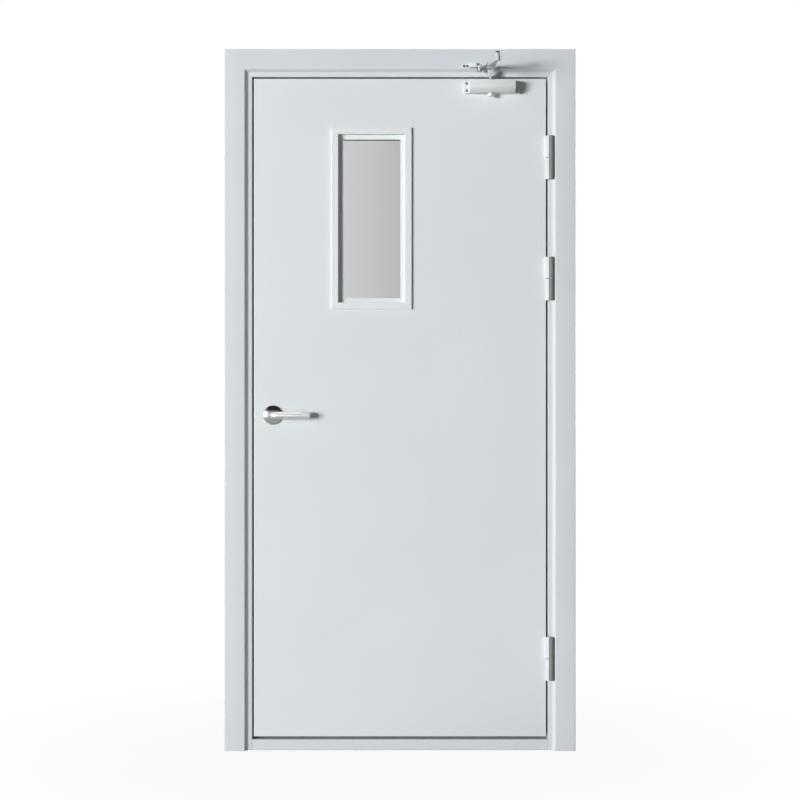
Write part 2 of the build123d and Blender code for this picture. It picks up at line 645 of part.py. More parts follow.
liner_back = SKIN - LEAF_THICKNESS
liner = slab(CUT_W + 2 * LINER_FLANGE, CUT_H + 2 * LINER_FLANGE, liner_back, -SKIN)
liner = liner - (
    slab(CUT_W + 2 * LINER_FLANGE, CUT_H + 2 * LINER_FLANGE, liner_back + LINER_SHEET, -SKIN - LINER_SHEET)
    - slab(CUT_W + 2 * LINER_SHEET, CUT_H + 2 * LINER_SHEET, liner_back, -SKIN)
)
liner = liner - slab(CUT_W, CUT_H, liner_back, -SKIN)
PARTS["window_liner"] = cut(window_at * liner, trim_screw_holes)
window_hole = window_at * slab(CUT_W, CUT_H, -LEAF_THICKNESS, 0)
liner_room = window_at * (
    slab(CUT_W + 2 * LINER_SHEET, CUT_H + 2 * LINER_SHEET, -LEAF_THICKNESS, 0)
    + slab(CUT_W + 2 * LINER_FLANGE, CUT_H + 2 * LINER_FLANGE, liner_back, liner_back + LINER_SHEET)
    + slab(CUT_W + 2 * LINER_FLANGE, CUT_H + 2 * LINER_FLANGE, -SKIN - LINER_SHEET, -SKIN)
)

# Lock in the leaf: forend, hollow case, follower, sprung latch bolt
case_left = -WEB_OUT
case_right = CASE_WIDTH - WEB_OUT
case_back = LEAF_MIDDLE - CASE_DEPTH / 2
case_front = LEAF_MIDDLE + CASE_DEPTH / 2
case_low = HANDLE_Z - CASE_HEIGHT / 2
case_high = HANDLE_Z + CASE_HEIGHT / 2
rose_bolt_levels = (HANDLE_Z + ROSE_BOLT_SPREAD, HANDLE_Z - ROSE_BOLT_SPREAD)
rose_bolt_holes = []
for z in rose_bolt_levels:
    rose_bolt_holes.append(stud(HANDLE_X, -LEAF_THICKNESS, 0, z, ROSE_BOLT + ROSE_BOLT_FIT))
latch_tip = -LEAF_HALF
latch_back = latch_tip + LATCH_HEAD
bridge_left = latch_back + LATCH_SPRING_ROOM
lock_case = block(case_left, case_right, case_back, case_front, case_low, case_high)
lock_case = lock_case - block(case_left, case_right - CASE_SHEET, case_back + CASE_SHEET,
                              case_front - CASE_SHEET, case_low + CASE_SHEET, case_high - CASE_SHEET)
lock_case = lock_case + block(bridge_left, bridge_left + CASE_BRIDGE, case_back + CASE_SHEET,
                              case_front - CASE_SHEET, HANDLE_Z - LATCH_HEIGHT / 2,
                              HANDLE_Z + LATCH_HEIGHT / 2)
lock_case = lock_case - peg(bridge_left, bridge_left + CASE_BRIDGE, LEAF_MIDDLE, HANDLE_Z,
                            LATCH_ROD + LATCH_FREE)
lock_case = lock_case - stud(HANDLE_X, case_back, case_front, HANDLE_Z, FOLLOWER_RADIUS + TURN_FREE)
PARTS["lock_case"] = cut(lock_case, rose_bolt_holes)

forend_back = LEAF_MIDDLE - FOREND_WIDTH / 2
forend_front = LEAF_MIDDLE + FOREND_WIDTH / 2
forend_low = HANDLE_Z - FOREND_LENGTH / 2
forend_high = HANDLE_Z + FOREND_LENGTH / 2
forend = block(-LEAF_HALF, -WEB_OUT, forend_back, forend_front, forend_low, forend_high)
half_t = LATCH_THICKNESS / 2 + LATCH_FREE
half_h = LATCH_HEIGHT / 2 + LATCH_FREE
forend = forend - block(-LEAF_HALF, -WEB_OUT, LEAF_MIDDLE - half_t, LEAF_MIDDLE + half_t,
                        HANDLE_Z - half_h, HANDLE_Z + half_h)
for spread in (FOREND_SCREW_SPREAD, -FOREND_SCREW_SPREAD):
    z = HANDLE_Z + spread
    hole = placed(countersunk(SCREW_LENGTH, SCREW_FIT), -LEAF_HALF, LEAF_MIDDLE, z, RIGHTWARD)
    forend = forend - hole
    leaf_screw_holes.append(hole)
    leaf_screws.append(placed(countersunk(SCREW_LENGTH), -LEAF_HALF, LEAF_MIDDLE, z, RIGHTWARD))
PARTS["lock_forend"] = forend
PARTS["leaf_screws"] = Compound(children=leaf_screws)
forend_seat = block(-LEAF_HALF, -WEB_OUT, forend_back - SEAT_FIT, forend_front + SEAT_FIT,
                    forend_low - SEAT_FIT, forend_high + SEAT_FIT)
case_room = block(case_left, case_right + SEAT_FIT, case_back - SEAT_FIT, case_front + SEAT_FIT,
                  case_low - SEAT_FIT, case_high + SEAT_FIT)

square = SPINDLE + 2 * SPINDLE_FIT
half_square = square / 2
follower = stud(HANDLE_X, case_back - FOLLOWER_PROUD, case_front + FOLLOWER_PROUD, HANDLE_Z, FOLLOWER_RADIUS)
follower = follower + block(HANDLE_X - FOLLOWER_LUG_WIDTH / 2, HANDLE_X + FOLLOWER_LUG_WIDTH / 2,
                            LEAF_MIDDLE - LATCH_TAIL_THICKNESS / 2, LEAF_MIDDLE + LATCH_TAIL_THICKNESS / 2,
                            HANDLE_Z, HANDLE_Z + FOLLOWER_LUG)
follower = follower - block(HANDLE_X - half_square, HANDLE_X + half_square, case_back - CASE_SHEET,
                            case_front + CASE_SHEET, HANDLE_Z - half_square, HANDLE_Z + half_square)
PARTS["lock_follower"] = follower

tail_low = HANDLE_Z + FOLLOWER_LUG + LATCH_FREE * 2
tail_high = tail_low + LATCH_TAIL
tail_back = LEAF_MIDDLE - LATCH_TAIL_THICKNESS / 2
tail_front = LEAF_MIDDLE + LATCH_TAIL_THICKNESS / 2
latch_front = LEAF_MIDDLE + LATCH_THICKNESS / 2
latch_rear = LEAF_MIDDLE - LATCH_THICKNESS / 2
latch_low = HANDLE_Z - LATCH_HEIGHT / 2
latch_high = HANDLE_Z + LATCH_HEIGHT / 2
latch_line = [
    (latch_tip, LEAF_FRONT - latch_front),
    (latch_back, LEAF_FRONT - latch_front),
    (latch_back, LEAF_FRONT - latch_rear),
    (latch_tip + LATCH_BEVEL, LEAF_FRONT - latch_rear),
    (latch_tip, LEAF_FRONT - latch_front + LATCH_BEVEL_REST),
]
latch = Pos(0, 0, latch_low) * extrude(make_face(Polyline(*latch_line, close=True)), LATCH_HEIGHT)
latch = latch + block(latch_back - LATCH_NECK, latch_back, tail_back, tail_front, latch_high, tail_high)
latch = latch + block(latch_back - LATCH_NECK, HANDLE_X + LATCH_TAIL_REACH, tail_back, tail_front,
                      tail_low, tail_high)
latch = latch + peg(latch_back, HANDLE_X - FOLLOWER_RADIUS - LATCH_FREE * 2, LEAF_MIDDLE, HANDLE_Z, LATCH_ROD)
PARTS["latch_bolt"] = latch
latch_coil = coil(LATCH_SPRING_RADIUS, LATCH_SPRING_WIRE, LATCH_SPRING_TURNS, LATCH_SPRING_ROOM)
PARTS["latch_spring"] = placed(latch_coil, latch_back, LEAF_MIDDLE, HANDLE_Z, RIGHTWARD)

# Handles: a rose and a bent round lever on each face, joined by a square spindle
rose_rim = ROSE_RADIUS - ROSE_WALL
rose_hole = LEVER_RADIUS + TURN_FREE


def on_dome(away, under):
    """Point of the rose's outline at a distance from its axis, on the dome or a wall's thickness under it."""
    return (away, ROSE_HEIGHT - ROSE_DOME + math.sqrt((ROSE_DOME - under) ** 2 - away ** 2))


rose_edge = on_dome(ROSE_RADIUS, 0)
dome_outside = ThreePointArc(on_dome(rose_hole, 0), on_dome((rose_hole + ROSE_RADIUS) / 2, 0), rose_edge)
dome_inside = ThreePointArc(on_dome(rose_rim, ROSE_WALL), on_dome((rose_hole + rose_rim) / 2, ROSE_WALL),
                            on_dome(rose_hole, ROSE_WALL))
rose_foot = Polyline(rose_edge, (ROSE_RADIUS, 0), (rose_rim, 0), on_dome(rose_rim, ROSE_WALL))
rose_section = make_face([dome_outside, rose_foot, dome_inside, Line(dome_inside @ 1, dome_outside @ 0)])
rose_section = fillet(rose_section.vertices().sort_by_distance(Vector(*rose_edge))[0], ROSE_ROUND)
rose = revolve(Plane.XZ * rose_section, Axis.Z)
PARTS["rose_front"] = placed(rose, HANDLE_X, 0, HANDLE_Z, OUTWARD)
PARTS["rose_back"] = mirrored_in_leaf(PARTS["rose_front"])
rose_bolts = []
for z in rose_bolt_levels:
    bolt = stud(HANDLE_X, -LEAF_THICKNESS - ROSE_BOLT_HEAD_HEIGHT, ROSE_BOLT_HEAD_HEIGHT, z, ROSE_BOLT)
    bolt = bolt + stud(HANDLE_X, 0, ROSE_BOLT_HEAD_HEIGHT, z, ROSE_BOLT_HEAD)
    bolt = bolt + stud(HANDLE_X, -LEAF_THICKNESS - ROSE_BOLT_HEAD_HEIGHT, -LEAF_THICKNESS, z, ROSE_BOLT_HEAD)
    rose_bolts.append(bolt)
PARTS["rose_bolts"] = Compound(children=rose_bolts)

neck_top = LEVER_STAND - LEVER_NECK_BEND
tip_start = LEVER_REACH - LEVER_TIP_BEND
lever_path = Wire(
    [
        Line((0, LEVER_START), (0, neck_top)),
        CenterArc((LEVER_NECK_BEND, neck_top), LEVER_NECK_BEND, 180, -90),
        Line((LEVER_NECK_BEND, LEVER_STAND), (tip_start, LEVER_STAND)),
        CenterArc((tip_start, LEVER_STAND - LEVER_TIP_BEND), LEVER_TIP_BEND, 90, -90),
        Line((LEVER_REACH, LEVER_STAND - LEVER_TIP_BEND), (LEVER_REACH, LEVER_TIP_FRONT)),
    ]
)
lever_section = Plane(origin=(0, LEVER_START, 0), z_dir=(0, 1, 0)) * Circle(LEVER_RADIUS)
lever = sweep(lever_section, path=lever_path)
lever_tip = lever.faces().sort_by_distance(Vector(LEVER_REACH, LEVER_TIP_FRONT))[0]
lever = fillet(lever_tip.edges(), LEVER_END_ROUND)
lever = Pos(HANDLE_X, LEAF_FRONT, HANDLE_Z) * Rot(180, 0, 0) * lever
spindle_out = LEVER_START + SPINDLE_IN_LEVER
lever = lever - block(HANDLE_X - half_square, HANDLE_X + half_square, 0, spindle_out + SPINDLE_FIT,
                      HANDLE_Z - half_square, HANDLE_Z + half_square)
PARTS["lever_front"] = lever
PARTS["lever_back"] = mirrored_in_leaf(lever)
PARTS["lever_spindle"] = block(HANDLE_X - SPINDLE / 2, HANDLE_X + SPINDLE / 2, -LEAF_THICKNESS - spindle_out,
                               spindle_out, HANDLE_Z - SPINDLE / 2, HANDLE_Z + SPINDLE / 2)

# Door closer: body with two lugs, bored across for the piston and upright for the pinion
closer_left = CLOSER_X - CLOSER_LENGTH / 2
closer_right = CLOSER_X + CLOSER_LENGTH / 2
closer_low = CLOSER_Z - CLOSER_HEIGHT / 2
closer_high = CLOSER_Z + CLOSER_HEIGHT / 2
closer_front = LEAF_FRONT - CLOSER_DEPTH
closer_line = [
    (LEAF_FRONT, closer_low),
    (closer_front + CLOSER_LOW_CHAMFER_DEPTH, closer_low),
    (closer_front, closer_low + CLOSER_LOW_CHAMFER),
    (closer_front, closer_high - CLOSER_TOP_CHAMFER),
    (closer_front + CLOSER_TOP_CHAMFER_DEPTH, closer_high),
    (LEAF_FRONT, closer_high),
]
closer_section = make_face(Polyline(*closer_line, close=True))
closer = Pos(CLOSER_X, 0, 0) * extrude(Plane.YZ * closer_section, CLOSER_LENGTH / 2, both=True)
lugs = block(closer_left - LUG_LENGTH, closer_right + LUG_LENGTH, 0, LUG_DEPTH, closer_low, closer_high)
lugs = chamfer(lugs.edges().filter_by(Axis.Y), LUG_CORNER)
closer = closer + lugs
closer = closer - peg(closer_left, closer_right, CLOSER_BORE_FRONT, CLOSER_Z, CLOSER_BORE)
closer = closer - post(SPINDLE_X, CLOSER_BORE_FRONT, closer_low, closer_high, BUSH_RADIUS)
closer_screws = []
closer_screw_holes = []
for x in (closer_left - LUG_LENGTH / 2, closer_right + LUG_LENGTH / 2):
    for z in (CLOSER_Z + LUG_SCREW_SPREAD, CLOSER_Z - LUG_SCREW_SPREAD):
        screw = headed(PAN_HEAD, PAN_HEAD_HEIGHT, SCREW_RADIUS, LUG_SCREW_LENGTH)
        closer_screws.append(placed(screw, x, LUG_DEPTH, z, INWARD))
        closer_screw_holes.append(
            stud(x, LUG_DEPTH - LUG_SCREW_LENGTH - SCREW_FIT, LUG_DEPTH, z, SCREW_RADIUS + SCREW_FIT)
        )
valves = []
valve_holes = []
for z in (CLOSER_Z - VALVE_SPREAD, CLOSER_Z + VALVE_SPREAD):
    valve = headed(VALVE_RADIUS, VALVE_HEAD, MACHINE_SCREW, VALVE_DEPTH)
    valves.append(placed(valve, closer_right, VALVE_FRONT, z, LEFTWARD))
    valve_holes.append(peg(closer_right - VALVE_DEPTH - SCREW_FIT, closer_right, VALVE_FRONT, z,
                           MACHINE_SCREW + SCREW_FIT))
PARTS["closer_body"] = cut(closer, closer_screw_holes + valve_holes)
PARTS["closer_screws"] = Compound(children=closer_screws)
PARTS["closer_valve_screws"] = Compound(children=valves)
plug_radius = CLOSER_BORE - CLOSER_FIT
plug_right = closer_right - CLOSER_PLUG
plug_left = closer_left + CLOSER_PLUG
PARTS["closer_cap_left"] = peg(closer_left, plug_left, CLOSER_BORE_FRONT, CLOSER_Z, plug_radius)
PARTS["closer_cap_right"] = peg(plug_right, closer_right, CLOSER_BORE_FRONT, CLOSER_Z, plug_radius)
bushes = []
shaft_hole = post(SPINDLE_X, CLOSER_BORE_FRONT, closer_low, closer_high, PINION_SHAFT + 2 * CLOSER_FIT)
for low, high in ((closer_low, CLOSER_Z - CLOSER_BORE), (CLOSER_Z + CLOSER_BORE, closer_high)):
    bushes.append(post(SPINDLE_X, CLOSER_BORE_FRONT, low, high, BUSH_RADIUS - CLOSER_FIT) - shaft_hole)
PARTS["closer_bearings"] = Compound(children=bushes)
cap_low = closer_low - BOTTOM_CAP_HEIGHT
bottom_cap = post(SPINDLE_X, CLOSER_BORE_FRONT, cap_low, closer_low, BOTTOM_CAP_RADIUS)
bottom_cap = fillet(bottom_cap.faces().sort_by(Axis.Z)[0].edges(), BOTTOM_CAP_ROUND)
PARTS["closer_bottom_cap"] = bottom_cap

# Pinion and piston: straight-sided teeth with play, meshed on the side of the bore next to the leaf
pinion_line = []
for tooth in range(PINION_TEETH):
    middle = 360 * tooth / PINION_TEETH + 90
    for radius, half_angle in (
        (PINION_ROOT, -PINION_ROOT_HALF_ANGLE),
        (PINION_PITCH_RADIUS, -PINION_PITCH_HALF_ANGLE),
        (PINION_TIP, -PINION_TIP_HALF_ANGLE),
        (PINION_TIP, PINION_TIP_HALF_ANGLE),
        (PINION_PITCH_RADIUS, PINION_PITCH_HALF_ANGLE),
        (PINION_ROOT, PINION_ROOT_HALF_ANGLE),
    ):
        turn = math.radians(middle + half_angle)
        pinion_line.append((radius * math.cos(turn), radius * math.sin(turn)))
toothed = extrude(make_face(Polyline(*pinion_line, close=True)), PINION_FACE, both=True)
pinion = Pos(SPINDLE_X, LEAF_FRONT - CLOSER_BORE_FRONT, CLOSER_Z) * toothed
pinion = pinion + post(SPINDLE_X, CLOSER_BORE_FRONT, closer_low, ARM_HUB_LOW, PINION_SHAFT)
hub_top = ARM_HUB_LOW + ARM_HUB_HEIGHT
half_arm_square = ARM_SQUARE / 2
pinion = pinion + block(SPINDLE_X - half_arm_square, SPINDLE_X + half_arm_square,
                        CLOSER_BORE_FRONT - half_arm_square, CLOSER_BORE_FRONT + half_arm_square,
                        ARM_HUB_LOW, hub_top)
pinion = pinion - post(SPINDLE_X, CLOSER_BORE_FRONT, hub_top - ARM_SCREW_DEPTH - SCREW_FIT, hub_top,
                       ARM_SCREW_THREAD + SCREW_FIT)
PARTS["closer_pinion"] = pinion

slot_right = SPINDLE_X + PINION_TIP + SLOT_FREE
slot_left = SPINDLE_X - PINION_TIP - SLOT_FREE - SLOT_TRAVEL
rack_count = int((slot_right - slot_left) / PITCH)
rack_tip_half = RACK_TIP_SHARE * PITCH
rack_root_half = RACK_ROOT_SHARE * PITCH
pinion_y = LEAF_FRONT - CLOSER_BORE_FRONT
slot_line = [
    (slot_left, pinion_y + RACK_ROOT),
    (slot_left, pinion_y - PINION_TIP - SLOT_FREE),
    (slot_right, pinion_y - PINION_TIP - SLOT_FREE),
    (slot_right, pinion_y + RACK_ROOT),
]
for tooth in range(rack_count):
    tooth_x = SPINDLE_X + PITCH * (FIRST_RACK_TOOTH_SHARE - tooth)
    if tooth_x + rack_root_half < slot_right and tooth_x - rack_root_half > slot_left:
        slot_line.append((tooth_x + rack_root_half, pinion_y + RACK_ROOT))
        slot_line.append((tooth_x + rack_tip_half, pinion_y + RACK_TIP))
        slot_line.append((tooth_x - rack_tip_half, pinion_y + RACK_TIP))
        slot_line.append((tooth_x - rack_root_half, pinion_y + RACK_ROOT))
slot = Pos(0, 0, CLOSER_Z) * extrude(make_face(Polyline(*slot_line, close=True)), CLOSER_BORE, both=True)
piston_left = CLOSER_X - PISTON_REST - PISTON_LENGTH / 2
piston_right = piston_left + PISTON_LENGTH
piston = peg(piston_left, piston_right, CLOSER_BORE_FRONT, CLOSER_Z, CLOSER_BORE - CLOSER_FIT)
PARTS["closer_piston"] = piston - slot
closer_coil = coil(CLOSER_BORE - CLOSER_SPRING_FREE, CLOSER_SPRING_WIRE, CLOSER_SPRING_TURNS,
                   plug_right - piston_right)
PARTS["closer_spring"] = placed(closer_coil, piston_right, CLOSER_BORE_FRONT, CLOSER_Z, RIGHTWARD)

# Main arm: hub on the pinion, a rise and a tapered bar above the forearm
arm_x = ELBOW_X - SPINDLE_X
arm_front = ELBOW_FRONT - CLOSER_BORE_FRONT
arm_length = math.hypot(arm_x, arm_front)
arm_turn = math.degrees(math.atan2(-arm_front, arm_x))
arm_at = Pos(SPINDLE_X, LEAF_FRONT - CLOSER_BORE_FRONT, 0) * Rot(0, 0, arm_turn)
bar_top = ARM_BAR_LOW + ARM_BAR
arm_line = [
    (ARM_RISE_START, ARM_HUB_LOW + ARM_BAR / 2),
    (ARM_HUB_RADIUS, ARM_HUB_LOW + ARM_BAR / 2),
    (ARM_RISE_END, ARM_BAR_LOW),
    (arm_length, ARM_BAR_LOW),
    (arm_length, bar_top),
    (ARM_RISE_END - ARM_BAR / 2, bar_top),
    (ARM_RISE_START, hub_top),
]
arm = extrude(Plane.XZ * make_face(Polyline(*arm_line, close=True)), ARM_HUB_RADIUS, both=True)
taper_line = [
    (0, ARM_HUB_RADIUS),
    (0, -ARM_HUB_RADIUS),
    (arm_length, -ARM_END_HALF_WIDTH),
    (arm_length, ARM_END_HALF_WIDTH),
]
taper = extrude(make_face(Polyline(*taper_line, close=True)), bar_top)
arm = arm & taper
arm = arm + Pos(0, 0, ARM_HUB_LOW + ARM_HUB_HEIGHT / 2) * Cylinder(ARM_HUB_RADIUS, ARM_HUB_HEIGHT)
arm = arm + Pos(arm_length, 0, ARM_BAR_LOW + ARM_BAR / 2) * Cylinder(ARM_END_HALF_WIDTH, ARM_BAR)
boss_at = Pos(arm_length, 0, ARM_BAR_LOW + ELBOW_BOSS_HEIGHT / 2)
arm = arm + boss_at * Cylinder(ELBOW_BOSS_RADIUS, ELBOW_BOSS_HEIGHT)
arm = arm - boss_at * Cylinder(ELBOW_PIN_RADIUS + PIN_FIT, ELBOW_BOSS_HEIGHT)
arm = arm_at * arm
arm_hole_half = half_arm_square + SPINDLE_FIT
arm = arm - block(SPINDLE_X - arm_hole_half, SPINDLE_X + arm_hole_half, CLOSER_BORE_FRONT - arm_hole_half,
                  CLOSER_BORE_FRONT + arm_hole_half, ARM_HUB_LOW, hub_top)
PARTS["closer_main_arm"] = arm - post(SPINDLE_X, CLOSER_BORE_FRONT, hub_top,
                                      hub_top + ARM_SCREW_HEAD + SCREW_FIT, ARM_SCREW_RADIUS + SCREW_FIT)
arm_screw = post(SPINDLE_X, CLOSER_BORE_FRONT, hub_top, hub_top + ARM_SCREW_HEAD, ARM_SCREW_RADIUS)
PARTS["arm_screw"] = arm_screw + post(SPINDLE_X, CLOSER_BORE_FRONT, hub_top - ARM_SCREW_DEPTH, hub_top,
                                      ARM_SCREW_THREAD)
elbow_pin = post(ELBOW_X, ELBOW_FRONT, ARM_BAR_LOW, ELBOW_BOSS_TOP, ELBOW_PIN_RADIUS)
PARTS["elbow_pin"] = elbow_pin + post(ELBOW_X, ELBOW_FRONT, ELBOW_BOSS_TOP,
                                       ELBOW_BOSS_TOP + ELBOW_CAP_HEIGHT, ELBOW_CAP_RADIUS)

# Forearm: threaded rod with an eye at the shoe, tube with an eye at the elbow, lock nut between
fore_x = ELBOW_X - SHOE_PIVOT_X
fore_front = ELBOW_FRONT - SHOE_PIVOT_FRONT
fore_length = math.hypot(fore_x, fore_front)
fore_turn = math.degrees(math.atan2(-fore_front, fore_x))
fore_at = Pos(SHOE_PIVOT_X, LEAF_FRONT - SHOE_PIVOT_FRONT, EYE_LOW + EYE_HEIGHT / 2) * Rot(0, 0, fore_turn)
tube_start = fore_length - TUBE_LENGTH
eye = Cylinder(EYE_RADIUS, EYE_HEIGHT)
eye_hole = Cylinder(PIN_RADIUS + PIN_FIT, EYE_HEIGHT)


def along_forearm(start, end, radius):
    """Round bar along the forearm, from its pivot on the shoe."""
    return Pos((start + end) / 2, 0, 0) * RIGHTWARD * Cylinder(radius, end - start)


rod = eye + along_forearm(0, tube_start + ROD_IN_TUBE, ROD_RADIUS) - eye_hole
PARTS["forearm_rod"] = fore_at * rod
tube = Pos(fore_length, 0, 0) * eye + along_forearm(tube_start, fore_length, TUBE_RADIUS)
tube = tube - Pos(fore_length, 0, 0) * eye_hole
tube = tube - along_forearm(tube_start, tube_start + ROD_IN_TUBE + SCREW_FIT, ROD_RADIUS + SCREW_FIT)
PARTS["forearm_tube"] = fore_at * tube
nut_face = Plane(origin=(tube_start - LOCKNUT_LENGTH, 0, 0), z_dir=(1, 0, 0))
nut = extrude(nut_face * RegularPolygon(LOCKNUT_RADIUS, LOCKNUT_SIDES, rotation=LOCKNUT_TURN), LOCKNUT_LENGTH)
nut = nut - along_forearm(tube_start - LOCKNUT_LENGTH, tube_start, ROD_RADIUS + SCREW_FIT)
PARTS["forearm_locknut"] = fore_at * nut

# Shoe on the frame's head, with the forearm's pivot pin and two screws
tongue_low = ARM_BAR_LOW
shoe = block(SHOE_LEFT, SHOE_BLOCK_LEFT, FACE_STEP, FACE_STEP + SHOE_PLATE, SHOE_LOW, SHOE_LOW + SHOE_HEIGHT)
shoe = shoe + block(SHOE_BLOCK_LEFT, SHOE_BLOCK_RIGHT, FACE_STEP, SHOE_BLOCK_FRONT, tongue_low,
                    tongue_low + SHOE_BLOCK_HEIGHT)
shoe = shoe + block(SHOE_BLOCK_LEFT, SHOE_PIVOT_X, SHOE_PIVOT_FRONT - SHOE_TONGUE_RADIUS,
                    SHOE_PIVOT_FRONT + SHOE_TONGUE_RADIUS, tongue_low, tongue_low + SHOE_TONGUE)
shoe = shoe + post(SHOE_PIVOT_X, SHOE_PIVOT_FRONT, tongue_low, tongue_low + SHOE_TONGUE, SHOE_TONGUE_RADIUS)
shoe = shoe - post(SHOE_PIVOT_X, SHOE_PIVOT_FRONT, tongue_low, tongue_low + SHOE_TONGUE, PIN_RADIUS + PIN_FIT)
shoe_screws = []
for far in SHOE_SCREWS_FAR:
    x = SHOE_PIVOT_X - far
    z = SHOE_LOW + SHOE_HEIGHT / 2
    screw = headed(PAN_HEAD, PAN_HEAD_HEIGHT, MACHINE_SCREW, SHOE_SCREW_LENGTH)
    shoe_screws.append(placed(screw, x, FACE_STEP + SHOE_PLATE, z, INWARD))
    hole = stud(x, FACE_STEP - SHOE_SCREW_LENGTH, FACE_STEP + SHOE_PLATE, z, MACHINE_SCREW + SCREW_FIT)
    shoe = shoe - hole
    head = head - hole
PARTS["closer_shoe"] = shoe
PARTS["shoe_screws"] = Compound(children=shoe_screws)
PARTS["head"] = head
pin_low = EYE_LOW - SHOE_PIN_PROUD
shoe_pin = post(SHOE_PIVOT_X, SHOE_PIVOT_FRONT, pin_low, tongue_low + SHOE_TONGUE, PIN_RADIUS)
shoe_pin = shoe_pin + post(SHOE_PIVOT_X, SHOE_PIVOT_FRONT, tongue_low + SHOE_TONGUE,
                           tongue_low + SHOE_TONGUE + SHOE_PIN_HEAD, PIN_RADIUS + SHOE_PIN_PROUD)
PARTS["shoe_pin"] = shoe_pin

# Leaf: two folded pans over a frame of channels and an insulating core
pan_depth = (LEAF_THICKNESS - SEAM) / 2
pan = block(-LEAF_HALF, LEAF_HALF, -pan_depth, 0, LEAF_BOTTOM, LEAF_TOP)
pan = fillet(pan.faces().sort_by(Axis.Y)[0].edges(), SKIN_BEND)
pan_room = block(SKIN - LEAF_HALF, LEAF_HALF - SKIN, -pan_depth, -SKIN, LEAF_BOTTOM + SKIN, LEAF_TOP - SKIN)
pan_room = fillet(pan_room.faces().sort_by(Axis.Y)[0].edges(), SKIN_BEND - SKIN)
spindle_hole = stud(HANDLE_X, -LEAF_THICKNESS, 0, HANDLE_Z, SPINDLE_HOLE)
pan = cut(pan, [pan_room, window_hole, spindle_hole] + rose_bolt_holes)
edge_seats = leaf_plate_seats + [forend_seat]
PARTS["leaf_front_skin"] = cut(pan, edge_seats + closer_screw_holes)
PARTS["leaf_back_skin"] = cut(mirrored_in_leaf(pan), edge_seats + trim_screw_holes)

inside_back = SKIN - LEAF_THICKNESS
inside_low = LEAF_BOTTOM + SKIN_BEND
inside_high = LEAF_TOP - SKIN_BEND
stile = block(FLANGE_TIP, WEB_OUT, inside_back, -SKIN, inside_low, inside_high)
stile = stile - block(FLANGE_TIP, WEB_IN, inside_back + CHANNEL_SHEET, -SKIN - CHANNEL_SHEET, inside_low,
                      inside_high)
lock_stile = cut(mirror(stile, about=Plane.YZ), [case_room] + leaf_screw_holes)
for plate in hinge_blocks_leaf:
    stile = stile + plate
PARTS["hinge_stile"] = cut(stile, leaf_screw_holes)
PARTS["lock_stile"] = lock_stile
rail = block(-FLANGE_TIP, FLANGE_TIP, inside_back, -SKIN, inside_high - CHANNEL_FLANGE, inside_high)
rail = rail - block(-FLANGE_TIP, FLANGE_TIP, inside_back + CHANNEL_SHEET, -SKIN - CHANNEL_SHEET,
                    inside_high - CHANNEL_FLANGE, inside_high - CHANNEL_SHEET)
leaf_height_middle = Plane(origin=(0, 0, (LEAF_TOP + LEAF_BOTTOM) / 2), z_dir=(0, 0, 1))
PARTS["top_rail"] = cut(rail, closer_screw_holes)
PARTS["bottom_rail"] = mirror(rail, about=leaf_height_middle)

core = block(-WEB_IN, WEB_IN, inside_back + CHANNEL_SHEET, -SKIN - CHANNEL_SHEET,
             inside_low + CHANNEL_SHEET, inside_high - CHANNEL_SHEET)
core = core + block(-FLANGE_TIP, FLANGE_TIP, inside_back, -SKIN, inside_low + CHANNEL_FLANGE,
                    inside_high - CHANNEL_FLANGE)
core_rooms = [liner_room, case_room, stud(HANDLE_X, -LEAF_THICKNESS, 0, HANDLE_Z, SPINDLE_HOLE)]
core_rooms += rose_bolt_holes + leaf_block_rooms + leaf_screw_holes
core_rooms += closer_screw_holes + trim_screw_holes
PARTS["leaf_core"] = cut(core, core_rooms)

# One file for each piece
os.makedirs("parts", exist_ok=True)
for name, shape in PARTS.items():
    export_step(shape, "parts/" + name + ".step")
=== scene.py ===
import math

import bpy
import numpy as np
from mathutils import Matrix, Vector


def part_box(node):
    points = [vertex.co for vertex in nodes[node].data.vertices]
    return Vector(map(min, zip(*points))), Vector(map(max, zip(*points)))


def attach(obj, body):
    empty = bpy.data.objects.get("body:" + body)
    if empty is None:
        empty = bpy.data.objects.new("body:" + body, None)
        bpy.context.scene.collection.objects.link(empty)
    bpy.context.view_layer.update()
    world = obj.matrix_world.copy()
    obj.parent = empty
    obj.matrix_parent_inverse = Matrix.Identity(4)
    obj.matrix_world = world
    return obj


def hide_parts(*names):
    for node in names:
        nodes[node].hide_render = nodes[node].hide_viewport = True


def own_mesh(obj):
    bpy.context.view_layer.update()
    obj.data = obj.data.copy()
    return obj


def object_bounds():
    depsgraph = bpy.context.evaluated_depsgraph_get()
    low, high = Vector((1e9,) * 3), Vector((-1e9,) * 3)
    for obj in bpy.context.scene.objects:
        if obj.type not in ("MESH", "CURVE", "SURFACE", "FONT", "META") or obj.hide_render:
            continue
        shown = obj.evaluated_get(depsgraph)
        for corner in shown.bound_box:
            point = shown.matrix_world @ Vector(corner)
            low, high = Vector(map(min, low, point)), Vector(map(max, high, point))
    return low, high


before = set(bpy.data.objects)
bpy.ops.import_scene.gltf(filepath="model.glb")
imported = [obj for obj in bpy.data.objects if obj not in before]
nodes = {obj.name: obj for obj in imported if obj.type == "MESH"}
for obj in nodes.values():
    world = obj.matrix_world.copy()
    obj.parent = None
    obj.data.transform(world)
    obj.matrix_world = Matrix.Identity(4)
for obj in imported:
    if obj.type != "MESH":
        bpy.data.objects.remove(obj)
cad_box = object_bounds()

# Steel frame: two jambs and a head folded from one profile of 1.5 mm sheet and mitred at the top
# corners, with a folded threshold between the jambs. Factory painted pale grey, so it has a soft sheen
# and a faint orange peel from the spray gun.
MM = 0.001

